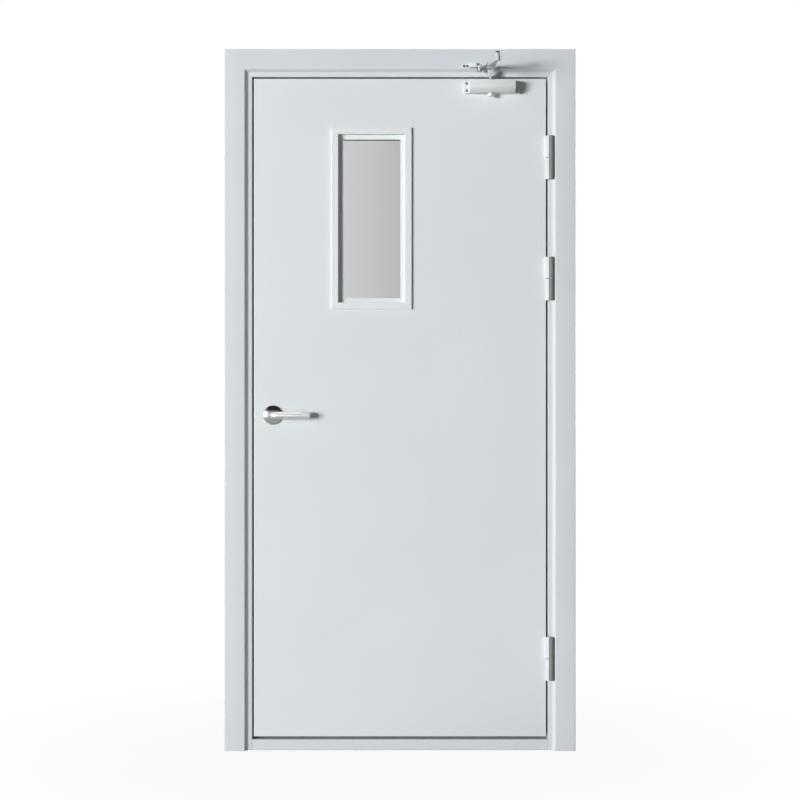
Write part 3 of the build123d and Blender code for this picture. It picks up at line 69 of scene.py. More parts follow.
# The Mix node's colour sockets share their names with its other sockets, so they go by number
COLOUR_A = 6
COLOUR_B = 7
COLOUR_OUT = 2


def linear(hex_colour):
    """Linear RGBA of an sRGB hex colour: each channel goes through the sRGB curve's inverse."""
    srgb = np.array([int(hex_colour[i:i + 2], 16) for i in (1, 3, 5)]) / 255
    channels = np.where(srgb <= 0.04045, srgb / 12.92, ((srgb + 0.055) / 1.055) ** 2.4)
    return (*channels.tolist(), 1.0)


def add(tree, kind, sockets=None, **settings):
    """Adds a node, sets its properties, and sets or links its input sockets."""
    node = tree.nodes.new(kind)
    for key, value in settings.items():
        setattr(node, key, value)
    for key, value in (sockets or {}).items():
        if isinstance(value, bpy.types.NodeSocket):
            tree.links.new(value, node.inputs[key])
        else:
            node.inputs[key].default_value = value
    return node


def new_material(name):
    """Empty material with its tree and output node."""
    material = bpy.data.materials.new(name)
    material.use_nodes = True
    material.node_tree.nodes.clear()
    return material, material.node_tree, add(material.node_tree, "ShaderNodeOutputMaterial")


def sprayed_paint(name, colour, thin_colour, roughness):
    """Sprayed enamel on metal: a colour that thins a little between the gun's passes, a soft sheen that
    varies with it, and orange peel as a low noise bump."""
    pass_mm = 260.0
    peel_mm = 3.0
    peel_depth_mm = 0.01
    spread = 0.04
    material, tree, output = new_material(name)
    place = add(tree, "ShaderNodeTexCoord")
    passes = add(tree, "ShaderNodeTexNoise",
                 {"Vector": place.outputs["Object"], "Scale": 1 / (pass_mm * MM), "Detail": 1.0})
    coat = add(tree, "ShaderNodeMix",
               {"Factor": passes.outputs["Fac"],
                COLOUR_A: linear(colour), COLOUR_B: linear(thin_colour)}, data_type="RGBA")
    sheen = add(tree, "ShaderNodeMapRange",
                {"Value": passes.outputs["Fac"],
                 "To Min": roughness - spread, "To Max": roughness + spread})
    peel = add(tree, "ShaderNodeTexNoise",
               {"Vector": place.outputs["Object"], "Scale": 1 / (peel_mm * MM), "Detail": 2.0})
    bump = add(tree, "ShaderNodeBump",
               {"Height": peel.outputs["Fac"], "Distance": peel_depth_mm * MM, "Strength": 0.4})
    shader = add(tree, "ShaderNodeBsdfPrincipled",
                 {"Base Color": coat.outputs[COLOUR_OUT], "Roughness": sheen.outputs["Result"],
                  "IOR": 1.5, "Specular IOR Level": 0.3, "Normal": bump.outputs["Normal"]})
    tree.links.new(shader.outputs["BSDF"], output.inputs["Surface"])
    return material


def dress(names, material, edge_mm=0.0):
    """Gives CAD nodes a finish. Their loose triangles are welded and shaded smooth, edges past the crease
    angle stay sharp, and a width rounds those edges off first."""
    weld_mm = 0.001
    crease = math.radians(32.0)
    for name in names:
        piece = nodes[name]
        piece.data.materials.clear()
        piece.data.materials.append(material)
        piece.data.polygons.foreach_set("use_smooth", [True] * len(piece.data.polygons))
        weld = piece.modifiers.new("weld", "WELD")
        weld.merge_threshold = weld_mm * MM
        if edge_mm:
            bevel = piece.modifiers.new("edges", "BEVEL")
            bevel.width = edge_mm * MM
            bevel.segments = 2
            bevel.limit_method = "ANGLE"
            bevel.angle_limit = crease
        split = piece.modifiers.new("sharp", "EDGE_SPLIT")
        split.split_angle = crease


frame_paint = sprayed_paint("frame_enamel", "#d6dcdf", "#d0d6d9", roughness=0.42)
dress(["hinge_jamb", "lock_jamb", "head", "threshold"], frame_paint)

# Stop seal and strike: a black rubber strip stuck on the frame's stop, and a stainless strike plate let
# into the lock jamb with a galvanised dust box behind it. The frame's screws are zinc plated and
# countersunk, with a cross recess, and face the opening.
scene = bpy.context.scene
SCREW_SIDES = 72
CROSS_ARM_SHARE = 0.58
CROSS_HALF_WIDTH_SHARE = 0.15


def grained(name, colours, roughness, grain_mm, depth_mm, metallic=0.0, stretch=(1.0, 1.0, 1.0)):
    """Rubber, plating, board or brushed metal: a noise of the material's own grain mixes two near
    colours, varies the roughness and stands up as a bump. Stretch under 1 draws the grain out along
    that axis."""
    spread = 0.2
    material, tree, output = new_material(name)
    place = add(tree, "ShaderNodeTexCoord")
    drawn = add(tree, "ShaderNodeMapping", {"Vector": place.outputs["Object"], "Scale": stretch})
    grain = add(tree, "ShaderNodeTexNoise",
                {"Vector": drawn.outputs["Vector"], "Scale": 1 / (grain_mm * MM), "Detail": 3.0})
    tone = add(tree, "ShaderNodeMix",
               {"Factor": grain.outputs["Fac"],
                COLOUR_A: linear(colours[0]), COLOUR_B: linear(colours[1])}, data_type="RGBA")
    vary = add(tree, "ShaderNodeMapRange",
               {"Value": grain.outputs["Fac"],
                "To Min": roughness * (1 - spread), "To Max": roughness * (1 + spread)})
    bump = add(tree, "ShaderNodeBump",
               {"Height": grain.outputs["Fac"], "Distance": depth_mm * MM, "Strength": 0.5})
    shader = add(tree, "ShaderNodeBsdfPrincipled",
                 {"Base Color": tone.outputs[COLOUR_OUT], "Metallic": metallic,
                  "Roughness": vary.outputs["Result"], "Normal": bump.outputs["Normal"]})
    tree.links.new(shader.outputs["BSDF"], output.inputs["Surface"])
    return material


def spangled(name, colours, roughness, spangle_mm):
    """Hot dip galvanised sheet: zinc crystals as random cells, each with its own grey and sheen."""
    spread = 0.25
    material, tree, output = new_material(name)
    place = add(tree, "ShaderNodeTexCoord")
    cells = add(tree, "ShaderNodeTexVoronoi",
                {"Vector": place.outputs["Object"], "Scale": 1 / (spangle_mm * MM)})
    tone = add(tree, "ShaderNodeMix",
               {"Factor": cells.outputs["Color"],
                COLOUR_A: linear(colours[0]), COLOUR_B: linear(colours[1])}, data_type="RGBA")
    vary = add(tree, "ShaderNodeMapRange",
               {"Value": cells.outputs["Color"],
                "To Min": roughness * (1 - spread), "To Max": roughness * (1 + spread)})
    shader = add(tree, "ShaderNodeBsdfPrincipled",
                 {"Base Color": tone.outputs[COLOUR_OUT], "Metallic": 1.0,
                  "Roughness": vary.outputs["Result"]})
    tree.links.new(shader.outputs["BSDF"], output.inputs["Surface"])
    return material


def solids_of(name):
    """Lowest and highest corner of each solid in a node. Corners of one triangle take the lowest label
    among them, again and again until no label changes, so that each solid ends with one label."""
    mesh = nodes[name].data
    corners = np.empty(len(mesh.vertices) * 3)
    mesh.vertices.foreach_get("co", corners)
    points, same = np.unique(corners.reshape(-1, 3).round(6), axis=0, return_inverse=True)
    loops = np.empty(len(mesh.loops), dtype=int)
    mesh.loops.foreach_get("vertex_index", loops)
    triangles = same.ravel()[loops].reshape(-1, 3)
    labels = np.arange(len(points))
    settled = False
    while not settled:
        spread = labels.copy()
        np.minimum.at(spread, triangles, labels[triangles].min(axis=1)[:, None])
        settled = (spread == labels).all()
        labels = spread
    groups = [points[labels == label] for label in np.unique(labels)]
    return [(group.min(axis=0), group.max(axis=0)) for group in groups]


def bar_outline(turn, along, across):
    """Edge of a bar at each angle: the nearer of its end, along / |cos|, and its side, across / |sin|."""
    return 1 / np.maximum(abs(np.cos(turn)) / along, abs(np.sin(turn)) / across)


def cross_outline(turn):
    """Edge of a cross recess as a share of the head's radius: the farther of two crossed bars."""
    first_bar = bar_outline(turn, CROSS_ARM_SHARE, CROSS_HALF_WIDTH_SHARE)
    second_bar = bar_outline(turn, CROSS_HALF_WIDTH_SHARE, CROSS_ARM_SHARE)
    return np.maximum(first_bar, second_bar)


def sunk_head(radius, depth):
    """Rings of a countersunk head as radius and depth: a flat top and a thin rim at the full radius. The
    cone below runs from there to the shank."""
    rim_share = 0.06
    return [(radius * (1 - rim_share), 0.0), (radius, depth * rim_share)]


def ring_walls(rings, sides):
    """Quads between neighbouring rings of points: each joins a point and the next one round to the same
    two of the ring after."""
    row = np.arange(rings - 1)[:, None] * sides
    here = row + np.arange(sides)
    beside = row + (np.arange(sides) + 1) % sides
    return np.stack([here, here + sides, beside + sides, beside], axis=2).reshape(-1, 4)


def new_piece(name, points, faces, material, crease_deg=30.0):
    """Object at the origin with a mesh of these points and faces, smooth up to the crease angle."""
    mesh = bpy.data.meshes.new(name)
    mesh.from_pydata(points, [], faces)
    mesh.materials.append(material)
    mesh.shade_smooth()
    mesh.set_sharp_from_angle(angle=math.radians(crease_deg))
    piece = bpy.data.objects.new(name, mesh)
    scene.collection.objects.link(piece)
    return piece


def driven_screws(name, node, body, facing, head_rings, outline,
                  head_mm, shank_mm, floor_share, deep_share):
    """Screws with a drive recess, one in place of each solid of a node. Each is a grid of rings: recess
    floor, recess mouth, head, shank and tip, with radius * (cos, sin) round the axis and a depth below
    the head's top. The recess rings follow an outline, the others are round. Facing gives the way out
    of the head from a solid's lowest corner, and the shares size the recess floor and its depth."""
    turn = np.linspace(0.0, 2 * math.pi, SCREW_SIDES, endpoint=False)
    step = np.arange(SCREW_SIDES)
    after = (step + 1) % SCREW_SIDES
    head = head_mm * MM
    shank = shank_mm * MM
    points = []
    faces = []
    for low, high in solids_of(node):
        out = np.array(facing(low), dtype=float)
        side = np.roll(out, 1)
        basis = np.array([side, np.cross(out, side), out])
        length = abs((high - low) @ out)
        radius = abs((high - low) @ side) / 2
        mouth = radius * outline(turn)
        rings = [(mouth * floor_share, head * deep_share), (mouth, 0.0), *head_rings(radius, head)]
        rings += [(shank, head), (shank, length)]
        radii = np.array([np.broadcast_to(ring, SCREW_SIDES) for ring, _ in rings])
        depths = np.array([[depth] for _, depth in rings])
        grid = np.stack([radii * np.cos(turn), radii * np.sin(turn), 0 * radii - depths], axis=2)
        poles = [[0.0, 0.0, -head * deep_share], [0.0, 0.0, -length]]
        top = (low + high) / 2 + out * length / 2
        first = sum(len(block) for block in points)
        points.append(np.concatenate([grid.reshape(-1, 3), poles]) @ basis + top)
        pole = first + len(rings) * SCREW_SIDES
        last = pole - SCREW_SIDES
        floor_fan = np.stack([np.full_like(step, pole), first + step, first + after], axis=1)
        tip_fan = np.stack([np.full_like(step, pole + 1), last + after, last + step], axis=1)
        faces += (first + ring_walls(len(rings), SCREW_SIDES)).tolist()
        faces += floor_fan.tolist() + tip_fan.tolist()
    piece = new_piece(name, np.concatenate(points).tolist(), faces, zinc_plate)
    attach(piece, body)
    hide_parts(node)


# Rubber is dull and nearly black, plating grey and even, galvanising shows its crystals, and the satin
# plates have fine upright grinding lines
seal_rubber = grained("seal_rubber", ("#19191a", "#202021"), roughness=0.7, grain_mm=0.8, depth_mm=0.02)
zinc_plate = grained("zinc_plated_steel", ("#7f8286", "#909397"),
                     roughness=0.35, grain_mm=1.2, depth_mm=0.003, metallic=1.0)
galvanised = spangled("galvanised_sheet", ("#9fa4a8", "#bcc0c2"), roughness=0.45, spangle_mm=7.0)
satin_steel = grained("satin_stainless_steel", ("#bebebd", "#c8c8c7"),
                      roughness=0.3, grain_mm=0.5, depth_mm=0.002, metallic=1.0,
                      stretch=(1.0, 1.0, 0.03))
dress(["frame_seal"], seal_rubber)
dress(["strike_plate"], satin_steel)
dress(["strike_box"], galvanised)
driven_screws("recessed_frame_screws", "frame_screws", "frame", lambda low: (-np.sign(low[0]), 0, 0),
              sunk_head, cross_outline, head_mm=2.2, shank_mm=2.4, floor_share=0.6, deep_share=0.8)

# Hinges: three lift-off pairs, the upper knuckle on the leaf and the lower one on the frame, with a steel
# pin and a brass washer between the knuckles. Plates of 3 mm steel painted white, knuckles bare turned
# steel.


def middle_of(name):
    """Middle of a node's box."""
    low, high = np.array(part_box(name))
    return tuple(((low + high) / 2).tolist())


HINGE_AXIS = middle_of("hinge_pins")
washer_low, washer_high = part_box("hinge_washers")
KNUCKLE_RADIUS = (washer_high[0] - washer_low[0]) / 2


def painted_to_knuckle(name, paint, steel, rim_mm, cut_mm, cut_depth_mm):
    """White paint that ends at the knuckle: bare steel where the distance from the pin's line is small,
    with the fine marks of the lathe round it."""
    material, tree, output = new_material(name)
    place = add(tree, "ShaderNodeTexCoord")
    pin_line = add(tree, "ShaderNodeMapping",
                   {"Vector": place.outputs["Object"], "Location": (-HINGE_AXIS[0], -HINGE_AXIS[1], 0.0)})
    flat = add(tree, "ShaderNodeVectorMath",
               {0: pin_line.outputs["Vector"], 1: (1.0, 1.0, 0.0)}, operation="MULTIPLY")
    away = add(tree, "ShaderNodeVectorMath", {0: flat.outputs["Vector"]}, operation="LENGTH")
    bare = add(tree, "ShaderNodeMapRange",
               {"Value": away.outputs["Value"], "From Min": KNUCKLE_RADIUS + rim_mm * MM,
                "From Max": KNUCKLE_RADIUS, "To Min": 0.0, "To Max": 1.0})
    painted = add(tree, "ShaderNodeBsdfPrincipled", {"Base Color": linear(paint), "Roughness": 0.4})
    cuts = add(tree, "ShaderNodeMapping", {"Vector": place.outputs["Object"], "Scale": (0.02, 0.02, 1.0)})
    marks = add(tree, "ShaderNodeTexNoise",
                {"Vector": cuts.outputs["Vector"], "Scale": 1 / (cut_mm * MM), "Detail": 2.0})
    ridges = add(tree, "ShaderNodeBump",
                 {"Height": marks.outputs["Fac"], "Distance": cut_depth_mm * MM, "Strength": 0.5})
    turned = add(tree, "ShaderNodeBsdfPrincipled",
                 {"Base Color": linear(steel), "Roughness": 0.55, "Specular IOR Level": 0.25,
                  "Normal": ridges.outputs["Normal"]})
    mixed = add(tree, "ShaderNodeMixShader", {"Fac": bare.outputs["Result"]})
    tree.links.new(painted.outputs["BSDF"], mixed.inputs[1])
    tree.links.new(turned.outputs["BSDF"], mixed.inputs[2])
    tree.links.new(mixed.outputs["Shader"], output.inputs["Surface"])
    return material


# The knuckles are dull grey steel, and the washers brass that oil has darkened
hinge_plate = painted_to_knuckle("hinge_enamel_and_steel", "#f6f8f8", "#7c8180",
                                 rim_mm=0.4, cut_mm=0.7, cut_depth_mm=0.01)
washer_brass = grained("oiled_brass", ("#776f5c", "#837b68"),
                       roughness=0.5, grain_mm=0.8, depth_mm=0.003, metallic=0.3)
hinge_leaves = [f"hinge_{side}_leaf_{n}" for side in ("door", "frame") for n in (1, 2, 3)]
dress(hinge_leaves, hinge_plate, edge_mm=0.4)
dress(["hinge_pins"], hinge_plate)
dress(["hinge_washers"], washer_brass)

# Leaf: a front and a back pan of 1 mm sheet, folded over a frame of galvanised channels and a core of
# dull, fibrous mineral board. The pans have the same pale grey enamel as the frame, a shade lighter. The
# screws in its two edges face away from its middle.
leaf_paint = sprayed_paint("leaf_enamel", "#dee3e6", "#d8dde0", roughness=0.4)
mineral_board = grained("mineral_board", ("#c5bda9", "#d9d2c4"), roughness=0.9, grain_mm=2.0, depth_mm=0.3)
dress(["leaf_front_skin", "leaf_back_skin"], leaf_paint)
dress(["hinge_stile", "lock_stile", "top_rail", "bottom_rail"], galvanised)
dress(["leaf_core"], mineral_board)
driven_screws("recessed_leaf_screws", "leaf_screws", "leaf", lambda low: (np.sign(low[0]), 0, 0),
              sunk_head, cross_outline, head_mm=2.2, shank_mm=2.4, floor_share=0.6, deep_share=0.8)

# Vision panel: a thick pane of clear fire glass between ceramic tapes, held by a folded and stepped steel
# trim on each face. The back trim is fixed with pan head screws, the front one has none.
ARC_RINGS = 6
glass_low, glass_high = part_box("window_glass")


def glass_with_painted_shade(name, lock_side, hinge_side):
    """Clear laminated glass whose grey comes from its colour at the two faces that light goes through. Its
    grey
    is a painted shade: it deepens in step with x across the pane, from the lock's side, which is nearer
    the key lamp, to the hinges'."""
    material, tree, output = new_material(name)
    place = add(tree, "ShaderNodeTexCoord")
    apart = add(tree, "ShaderNodeSeparateXYZ", {"Vector": place.outputs["Object"]})
    across = add(tree, "ShaderNodeMapRange",
                 {"Value": apart.outputs["X"], "From Min": glass_low[0], "From Max": glass_high[0]})
    grey = add(tree, "ShaderNodeMix",
               {"Factor": across.outputs["Result"],
                COLOUR_A: linear(lock_side), COLOUR_B: linear(hinge_side)}, data_type="RGBA")
    shader = add(tree, "ShaderNodeBsdfPrincipled",
                 {"Base Color": grey.outputs[COLOUR_OUT], "Roughness": 0.0, "IOR": 1.5,
                  "Transmission Weight": 1.0})
    tree.links.new(shader.outputs["BSDF"], output.inputs["Surface"])
    return material


def pan_head(radius, depth):
    """Rings of a pan head: a flat top, a quarter ellipse down to the side, and the flat underside."""
    top_share = 0.66
    rise_share = 0.6
    swing = np.linspace(math.pi / 2, 0.0, ARC_RINGS)
    radii = radius * (top_share + (1 - top_share) * np.cos(swing))
    depths = depth * rise_share * (1 - np.sin(swing))
    return [*zip(radii, depths), (radius, depth)]


# The trim is a shade whiter than the leaf, and the tapes are matt and off-white
trim_paint = sprayed_paint("trim_enamel", "#e4e8ea", "#e0e4e6", roughness=0.38)
# The glass's grey is painted darker from the lock's side to the hinges' side, as a painted shade
fire_glass = glass_with_painted_shade("fire_glass", lock_side="#cacbcb", hinge_side="#b3b4b4")
glazing_tape = grained("ceramic_tape", ("#d0cec6", "#dfddd7"), roughness=0.9, grain_mm=0.8, depth_mm=0.1)
dress(["window_trim_front", "window_trim_back"], trim_paint)
dress(["window_liner"], galvanised)
dress(["window_glass"], fire_glass)
dress(["window_tapes"], glazing_tape)
driven_screws("recessed_trim_screws", "window_trim_screws", "leaf", lambda low: (0, 1, 0),
              pan_head, cross_outline, head_mm=2.5, shank_mm=2.0, floor_share=0.6, deep_share=0.7)

# Lock: a galvanised case in the leaf's edge behind a stainless forend, with a zinc plated follower, a
# bevelled latch bolt and its spring. A square spindle and two bolts go through it to the handles.
dress(["lock_case"], galvanised)
dress(["lock_forend"], satin_steel)
dress(["lock_follower", "latch_bolt", "latch_spring", "lever_spindle", "rose_bolts"], zinc_plate)

# Handles: round stainless levers bent from bar and ground to a satin finish, on pressed and polished
# roses.
SPINDLE_LINE = middle_of("lever_spindle")


def spun_metal(name, colours, roughness, ring_mm):
    """Metal polished on a spindle: fine rings, a noise of the distance from the spindle's line alone."""
    spread = 0.3
    material, tree, output = new_material(name)
    place = add(tree, "ShaderNodeTexCoord")
    middle = add(tree, "ShaderNodeVectorMath",
                 {0: place.outputs["Object"], 1: SPINDLE_LINE}, operation="SUBTRACT")
    flat = add(tree, "ShaderNodeVectorMath",
               {0: middle.outputs["Vector"], 1: (1.0, 0.0, 1.0)}, operation="MULTIPLY")
    away = add(tree, "ShaderNodeVectorMath", {0: flat.outputs["Vector"]}, operation="LENGTH")
    rings = add(tree, "ShaderNodeTexNoise",
                {"W": away.outputs["Value"], "Scale": 1 / (ring_mm * MM), "Detail": 2.0},
                noise_dimensions="1D")
    tone = add(tree, "ShaderNodeMix",
               {"Factor": rings.outputs["Fac"],
                COLOUR_A: linear(colours[0]), COLOUR_B: linear(colours[1])}, data_type="RGBA")
    vary = add(tree, "ShaderNodeMapRange",
               {"Value": rings.outputs["Fac"],
                "To Min": roughness * (1 - spread), "To Max": roughness * (1 + spread)})
    shader = add(tree, "ShaderNodeBsdfPrincipled",
                 {"Base Color": tone.outputs[COLOUR_OUT], "Metallic": 1.0,
                  "Roughness": vary.outputs["Result"]})
    tree.links.new(shader.outputs["BSDF"], output.inputs["Surface"])
    return material


# Grinding along the bar spreads the highlights, and the roses mirror light and dark in plain halves
ground_steel = grained("ground_stainless_steel", ("#dededc", "#eaeae8"),
                       roughness=0.36, grain_mm=0.6, depth_mm=0.002, metallic=1.0,
                       stretch=(0.03, 1.0, 1.0))
spun_steel = spun_metal("spun_stainless_steel", ("#828281", "#a6a6a5"), roughness=0.16, ring_mm=1.0)
dress(["lever_front", "lever_back"], ground_steel)
dress(["rose_front", "rose_back"], spun_steel)

# Door closer: a cast aluminium body painted silver, screwed to the leaf, with end plugs and a bottom cap.
# Inside are brass bushes, a pinion and a toothed piston.
closer_paint = sprayed_paint("closer_silver", "#dfe2e3", "#d9dcdd", roughness=0.42)
dress(["closer_body", "closer_bottom_cap"], closer_paint, edge_mm=0.5)
dress(["closer_cap_left", "closer_cap_right"], closer_paint)
dress(["closer_bearings"], washer_brass)
dress(["closer_piston", "closer_pinion"], zinc_plate)

# Closer spring: dark oiled steel wire wound to a coil between the piston and the body's right end plug,
# with its end turns closed up. In the closer the piston presses it together towards the plug as the door
# opens; here the coil keeps the length it is drawn at and rides with the leaf.
SPRING_TURNS = 7
SPRING_STEPS = 280
SPRING_WIRE = 2.6 * MM
EVEN_SHARE = 0.55
WIRE_SIDES = 14
spring_low, spring_high = np.array(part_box("closer_spring"))


def wound_wire(low, high):
    """Rings of round wire along a helix on the x axis: at share s of its run the middle is at
    R * (cos, sin) of 2 pi * turns * s, and x goes partly even and partly as a smooth step, so that the
    end turns lie close. Each ring is the middle plus wire / 2 * (cos a * outwards + sin a * across),
    where across is the run's way crossed with outwards."""
    share = np.linspace(0.0, 1.0, SPRING_STEPS)
    angle = 2 * math.pi * SPRING_TURNS * share
    radius = (high[1] - low[1] - SPRING_WIRE) / 2
    eased = EVEN_SHARE * share + (1 - EVEN_SHARE) * share ** 2 * (3 - 2 * share)
    along = low[0] + SPRING_WIRE / 2 + (high[0] - low[0] - SPRING_WIRE) * eased
    axis = (low + high) / 2
    outwards = np.stack([0 * angle, np.cos(angle), np.sin(angle)], axis=1)
    middle = np.stack([along, 0 * angle + axis[1], 0 * angle + axis[2]], axis=1) + radius * outwards
    run = np.gradient(middle, axis=0)
    across = np.cross(run / np.linalg.norm(run, axis=1)[:, None], outwards)
    around = np.linspace(0.0, 2 * math.pi, WIRE_SIDES, endpoint=False)[None, :, None]
    offset = np.cos(around) * outwards[:, None, :] + np.sin(around) * across[:, None, :]
    return middle[:, None, :] + SPRING_WIRE / 2 * offset


# The walls take their corners the other way round, so that they face out of the wire
TURNED_ROUND = [0, 3, 2, 1]
wire_points = wound_wire(spring_low, spring_high).reshape(-1, 3)
wire_walls = ring_walls(SPRING_STEPS, WIRE_SIDES)[:, TURNED_ROUND]
wire_side = np.arange(WIRE_SIDES)
wire_ends = [wire_side[::-1].tolist(), ((SPRING_STEPS - 1) * WIRE_SIDES + wire_side).tolist()]
spring_steel = grained("oiled_spring_steel", ("#5c5e60", "#6a6c6e"),
                       roughness=0.4, grain_mm=1.0, depth_mm=0.003, metallic=1.0)
closer_spring = new_piece("wound_closer_spring", wire_points.tolist(), wire_walls.tolist() + wire_ends,
                          spring_steel, crease_deg=60.0)
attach(closer_spring, "leaf")
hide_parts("closer_spring")
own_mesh(closer_spring)

# Closer screws: socket screws through the body's lugs, slotted valve screws in its right end, a socket
# screw that clamps the main arm on the pinion, and cross recessed screws through the shoe. All are zinc
# plated pan heads.
SOCKET_FLAT_SHARE = 0.5
SLOT_ARM_SHARE = 0.82
SLOT_HALF_WIDTH_SHARE = 0.14


def hexagon_outline(turn):
    """Edge of a hexagon socket as a share of the head's radius: flat / cos of the angle from the nearest
    flat."""
    flats = np.radians([0, 60, 120])[:, None]
    return SOCKET_FLAT_SHARE / abs(np.cos(turn - flats)).max(axis=0)


def slot_outline(turn):
    """Edge of a straight slot as a share of the head's radius."""
    return bar_outline(turn, SLOT_ARM_SHARE, SLOT_HALF_WIDTH_SHARE)


driven_screws("socket_closer_screws", "closer_screws", "leaf", lambda low: (0, -1, 0),
              pan_head, hexagon_outline, head_mm=2.5, shank_mm=2.4, floor_share=0.95, deep_share=0.7)
driven_screws("slotted_valve_screws", "closer_valve_screws", "leaf", lambda low: (1, 0, 0),
              pan_head, slot_outline, head_mm=2.0, shank_mm=2.0, floor_share=0.95, deep_share=0.6)
driven_screws("socket_arm_screw", "arm_screw", "main_arm", lambda low: (0, 0, 1),
              pan_head, hexagon_outline, head_mm=3.5, shank_mm=2.0, floor_share=0.95, deep_share=0.7)
driven_screws("recessed_shoe_screws", "shoe_screws", "frame", lambda low: (0, -1, 0),
              pan_head, cross_outline, head_mm=2.5, shank_mm=2.0, floor_share=0.6, deep_share=0.7)

# Closer arms: a main arm and a forearm tube of steel painted silver, a plain drawn rod that a lock nut
# holds in the tube, a black elbow pin, and a silver shoe with a zinc plated pin on the frame's head.
arm_paint = sprayed_paint("arm_silver", "#c8cccf", "#c4c8cb", roughness=0.35)
rod_steel = grained("drawn_steel_rod", ("#888b8e", "#94979a"),
                    roughness=0.5, grain_mm=0.8, depth_mm=0.003, metallic=1.0)
black_cap = grained("black_oxide_steel", ("#272829", "#2f3031"),
                    roughness=0.45, grain_mm=0.6, depth_mm=0.005)
dress(["closer_main_arm", "forearm_tube"], arm_paint, edge_mm=0.4)
dress(["forearm_rod", "forearm_locknut"], rod_steel)
dress(["elbow_pin"], black_cap)
dress(["closer_shoe"], closer_paint, edge_mm=0.4)
dress(["shoe_pin"], zinc_plate)

# White surround: it shows white to the camera, in mirrors and through glass, and lights the door only
# faintly.
AMBIENT = 0.04
WHITE = (1.0, 1.0, 1.0, 1.0)
scene.view_settings.view_transform = "Standard"


def seen_by(tree, first, *others):
    """1 for rays of these kinds, otherwise 0: the largest of the light path's answers."""
    path = add(tree, "ShaderNodeLightPath")
    seen = path.outputs[first]
    for kind in others:
        either = add(tree, "ShaderNodeMath", {0: seen, 1: path.outputs[kind]}, operation="MAXIMUM")
        seen = either.outputs["Value"]
    return seen


world = bpy.data.worlds.new("white_surround")
world.use_nodes = True
world.node_tree.nodes.clear()
surround = add(world.node_tree, "ShaderNodeOutputWorld")
level = add(world.node_tree, "ShaderNodeMapRange",
            {"Value": seen_by(world.node_tree, "Is Camera Ray", "Is Glossy Ray", "Is Transmission Ray"),
             "To Min": AMBIENT, "To Max": 1.0})
sky = add(world.node_tree, "ShaderNodeBackground", {"Color": WHITE, "Strength": level.outputs["Result"]})
world.node_tree.links.new(sky.outputs["Background"], surround.inputs["Surface"])
scene.world = world

# Floor: matt pale paint that keeps the door's shadow. It shows as white, fully so far from the door, and
# polished metal mirrors it dark near the door, as a floor in the door's shade.
FLOOR_HALF = 20.0
FLOOR_SHOWN = 0.93
FLOOR_MIRRORED = 0.05
FLOOR_SHADE_NEAR = 0.5
FLOOR_SHADE_FAR = 1.6
SHEET_CORNERS = ((-1, -1), (1, -1), (1, 1), (-1, 1))
floor_paint, floor_tree, floor_output = new_material("pale_floor")
matte = add(floor_tree, "ShaderNodeBsdfDiffuse", {"Color": linear("#c4c4c4")})
white = add(floor_tree, "ShaderNodeEmission", {"Color": WHITE, "Strength": 1.0})
floor_place = add(floor_tree, "ShaderNodeTexCoord")
from_door = add(floor_tree, "ShaderNodeVectorMath", {0: floor_place.outputs["Object"]}, operation="LENGTH")
shown = add(floor_tree, "ShaderNodeMapRange",
            {"Value": from_door.outputs["Value"], "From Min": FLOOR_SHADE_NEAR,
             "From Max": FLOOR_SHADE_FAR, "To Min": FLOOR_SHOWN, "To Max": 1.0},
            interpolation_type="SMOOTHSTEP")
mirrored = add(floor_tree, "ShaderNodeMapRange",
               {"Value": from_door.outputs["Value"], "From Min": FLOOR_SHADE_NEAR,
                "From Max": FLOOR_SHADE_FAR, "To Min": FLOOR_MIRRORED, "To Max": 1.0},
               interpolation_type="SMOOTHSTEP")
direct = add(floor_tree, "ShaderNodeMath",
             {0: seen_by(floor_tree, "Is Camera Ray", "Is Transmission Ray"), 1: shown.outputs["Result"]},
             operation="MULTIPLY")
whitened = add(floor_tree, "ShaderNodeMath",
               {0: seen_by(floor_tree, "Is Glossy Ray"), 1: mirrored.outputs["Result"],
                2: direct.outputs["Value"]},
               operation="MULTIPLY_ADD")
blend = add(floor_tree, "ShaderNodeMixShader", {"Fac": whitened.outputs["Value"]})
floor_tree.links.new(matte.outputs["BSDF"], blend.inputs[1])
floor_tree.links.new(white.outputs["Emission"], blend.inputs[2])
floor_tree.links.new(blend.outputs["Shader"], floor_output.inputs["Surface"])
floor = new_piece("floor", [(x * FLOOR_HALF, y * FLOOR_HALF, 0.0) for x, y in SHEET_CORNERS],
                  [(0, 1, 2, 3)], floor_paint)

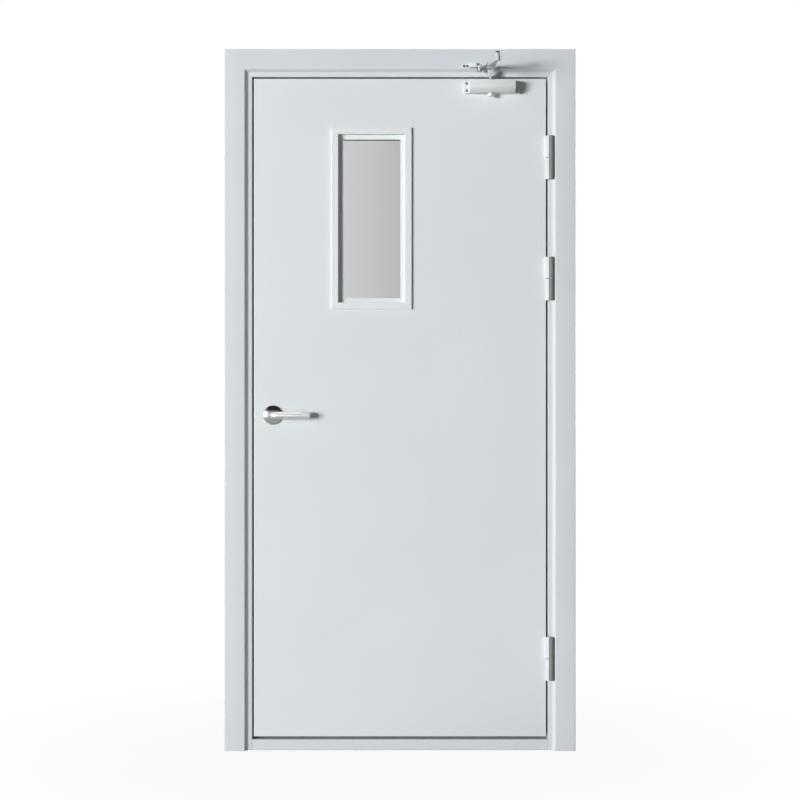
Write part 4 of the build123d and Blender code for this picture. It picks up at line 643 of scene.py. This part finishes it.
# Dark card: black felt high up in front of the door, seen only in mirrors, where it darkens the upper half
# of the polished roses.
CARD_AWAY = 8.0
CARD_HALF = 6.0
CARD_MIDDLE = 5.75
CARD_HALF_HEIGHT = 2.45
card_corners = [(x * CARD_HALF, -CARD_AWAY, CARD_MIDDLE + z * CARD_HALF_HEIGHT) for x, z in SHEET_CORNERS]
black_felt = grained("black_felt", ("#181818", "#1c1c1c"), roughness=0.9, grain_mm=2.0, depth_mm=0.1)
card = new_piece("dark_card", card_corners, [(0, 1, 2, 3)], black_felt)
card.visible_camera = False
card.visible_diffuse = False
card.visible_transmission = False
card.visible_shadow = False

# Lamps: a large soft key far off to the left of the camera, a lamp behind the door for its back, and a
# small one above it for the edges that face up.
HALF_HEIGHT = (cad_box[0][2] + cad_box[1][2]) / 2
DOOR_MIDDLE = (0.0, -0.05, HALF_HEIGHT)


def soft_lamp(name, place, width, height, watts):
    """Soft lamp at a place, turned so that its face looks at the door's middle."""
    lamp = bpy.data.lights.new(name, "AREA")
    lamp.shape = "RECTANGLE"
    lamp.size = width
    lamp.size_y = height
    lamp.energy = watts
    holder = bpy.data.objects.new(name, lamp)
    across, away, up = np.array(DOOR_MIDDLE) - np.array(place)
    holder.location = place
    holder.rotation_euler = (math.atan2(math.hypot(across, away), -up), 0.0, math.atan2(-across, away))
    scene.collection.objects.link(holder)


soft_lamp("key_lamp", place=(-10.5, -12.1, 1.8), width=5.6, height=3.0, watts=2680.0)
soft_lamp("back_lamp", place=(4.0, 6.2, 2.2), width=2.5, height=2.5, watts=420.0)
soft_lamp("top_lamp", place=(0.0, 0.5, 6.0), width=1.6, height=1.6, watts=80.0)

# Camera: straight in front of the door at half its height, five metres from the frame's face. The lens
# takes in the picture's width at that face.
CAMERA_AWAY = 5.0
SENSOR_MM = 36.0
PICTURE_WIDTH = 2.392
FACE_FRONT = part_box("hinge_jamb")[0][1]
camera_data = bpy.data.cameras.new("camera")
camera_data.sensor_width = SENSOR_MM
camera_data.lens = SENSOR_MM * CAMERA_AWAY / PICTURE_WIDTH
camera = bpy.data.objects.new("camera", camera_data)
camera.location = (0.0, FACE_FRONT - CAMERA_AWAY, HALF_HEIGHT)
camera.rotation_euler = (math.pi / 2, 0.0, 0.0)
scene.collection.objects.link(camera)
scene.camera = camera
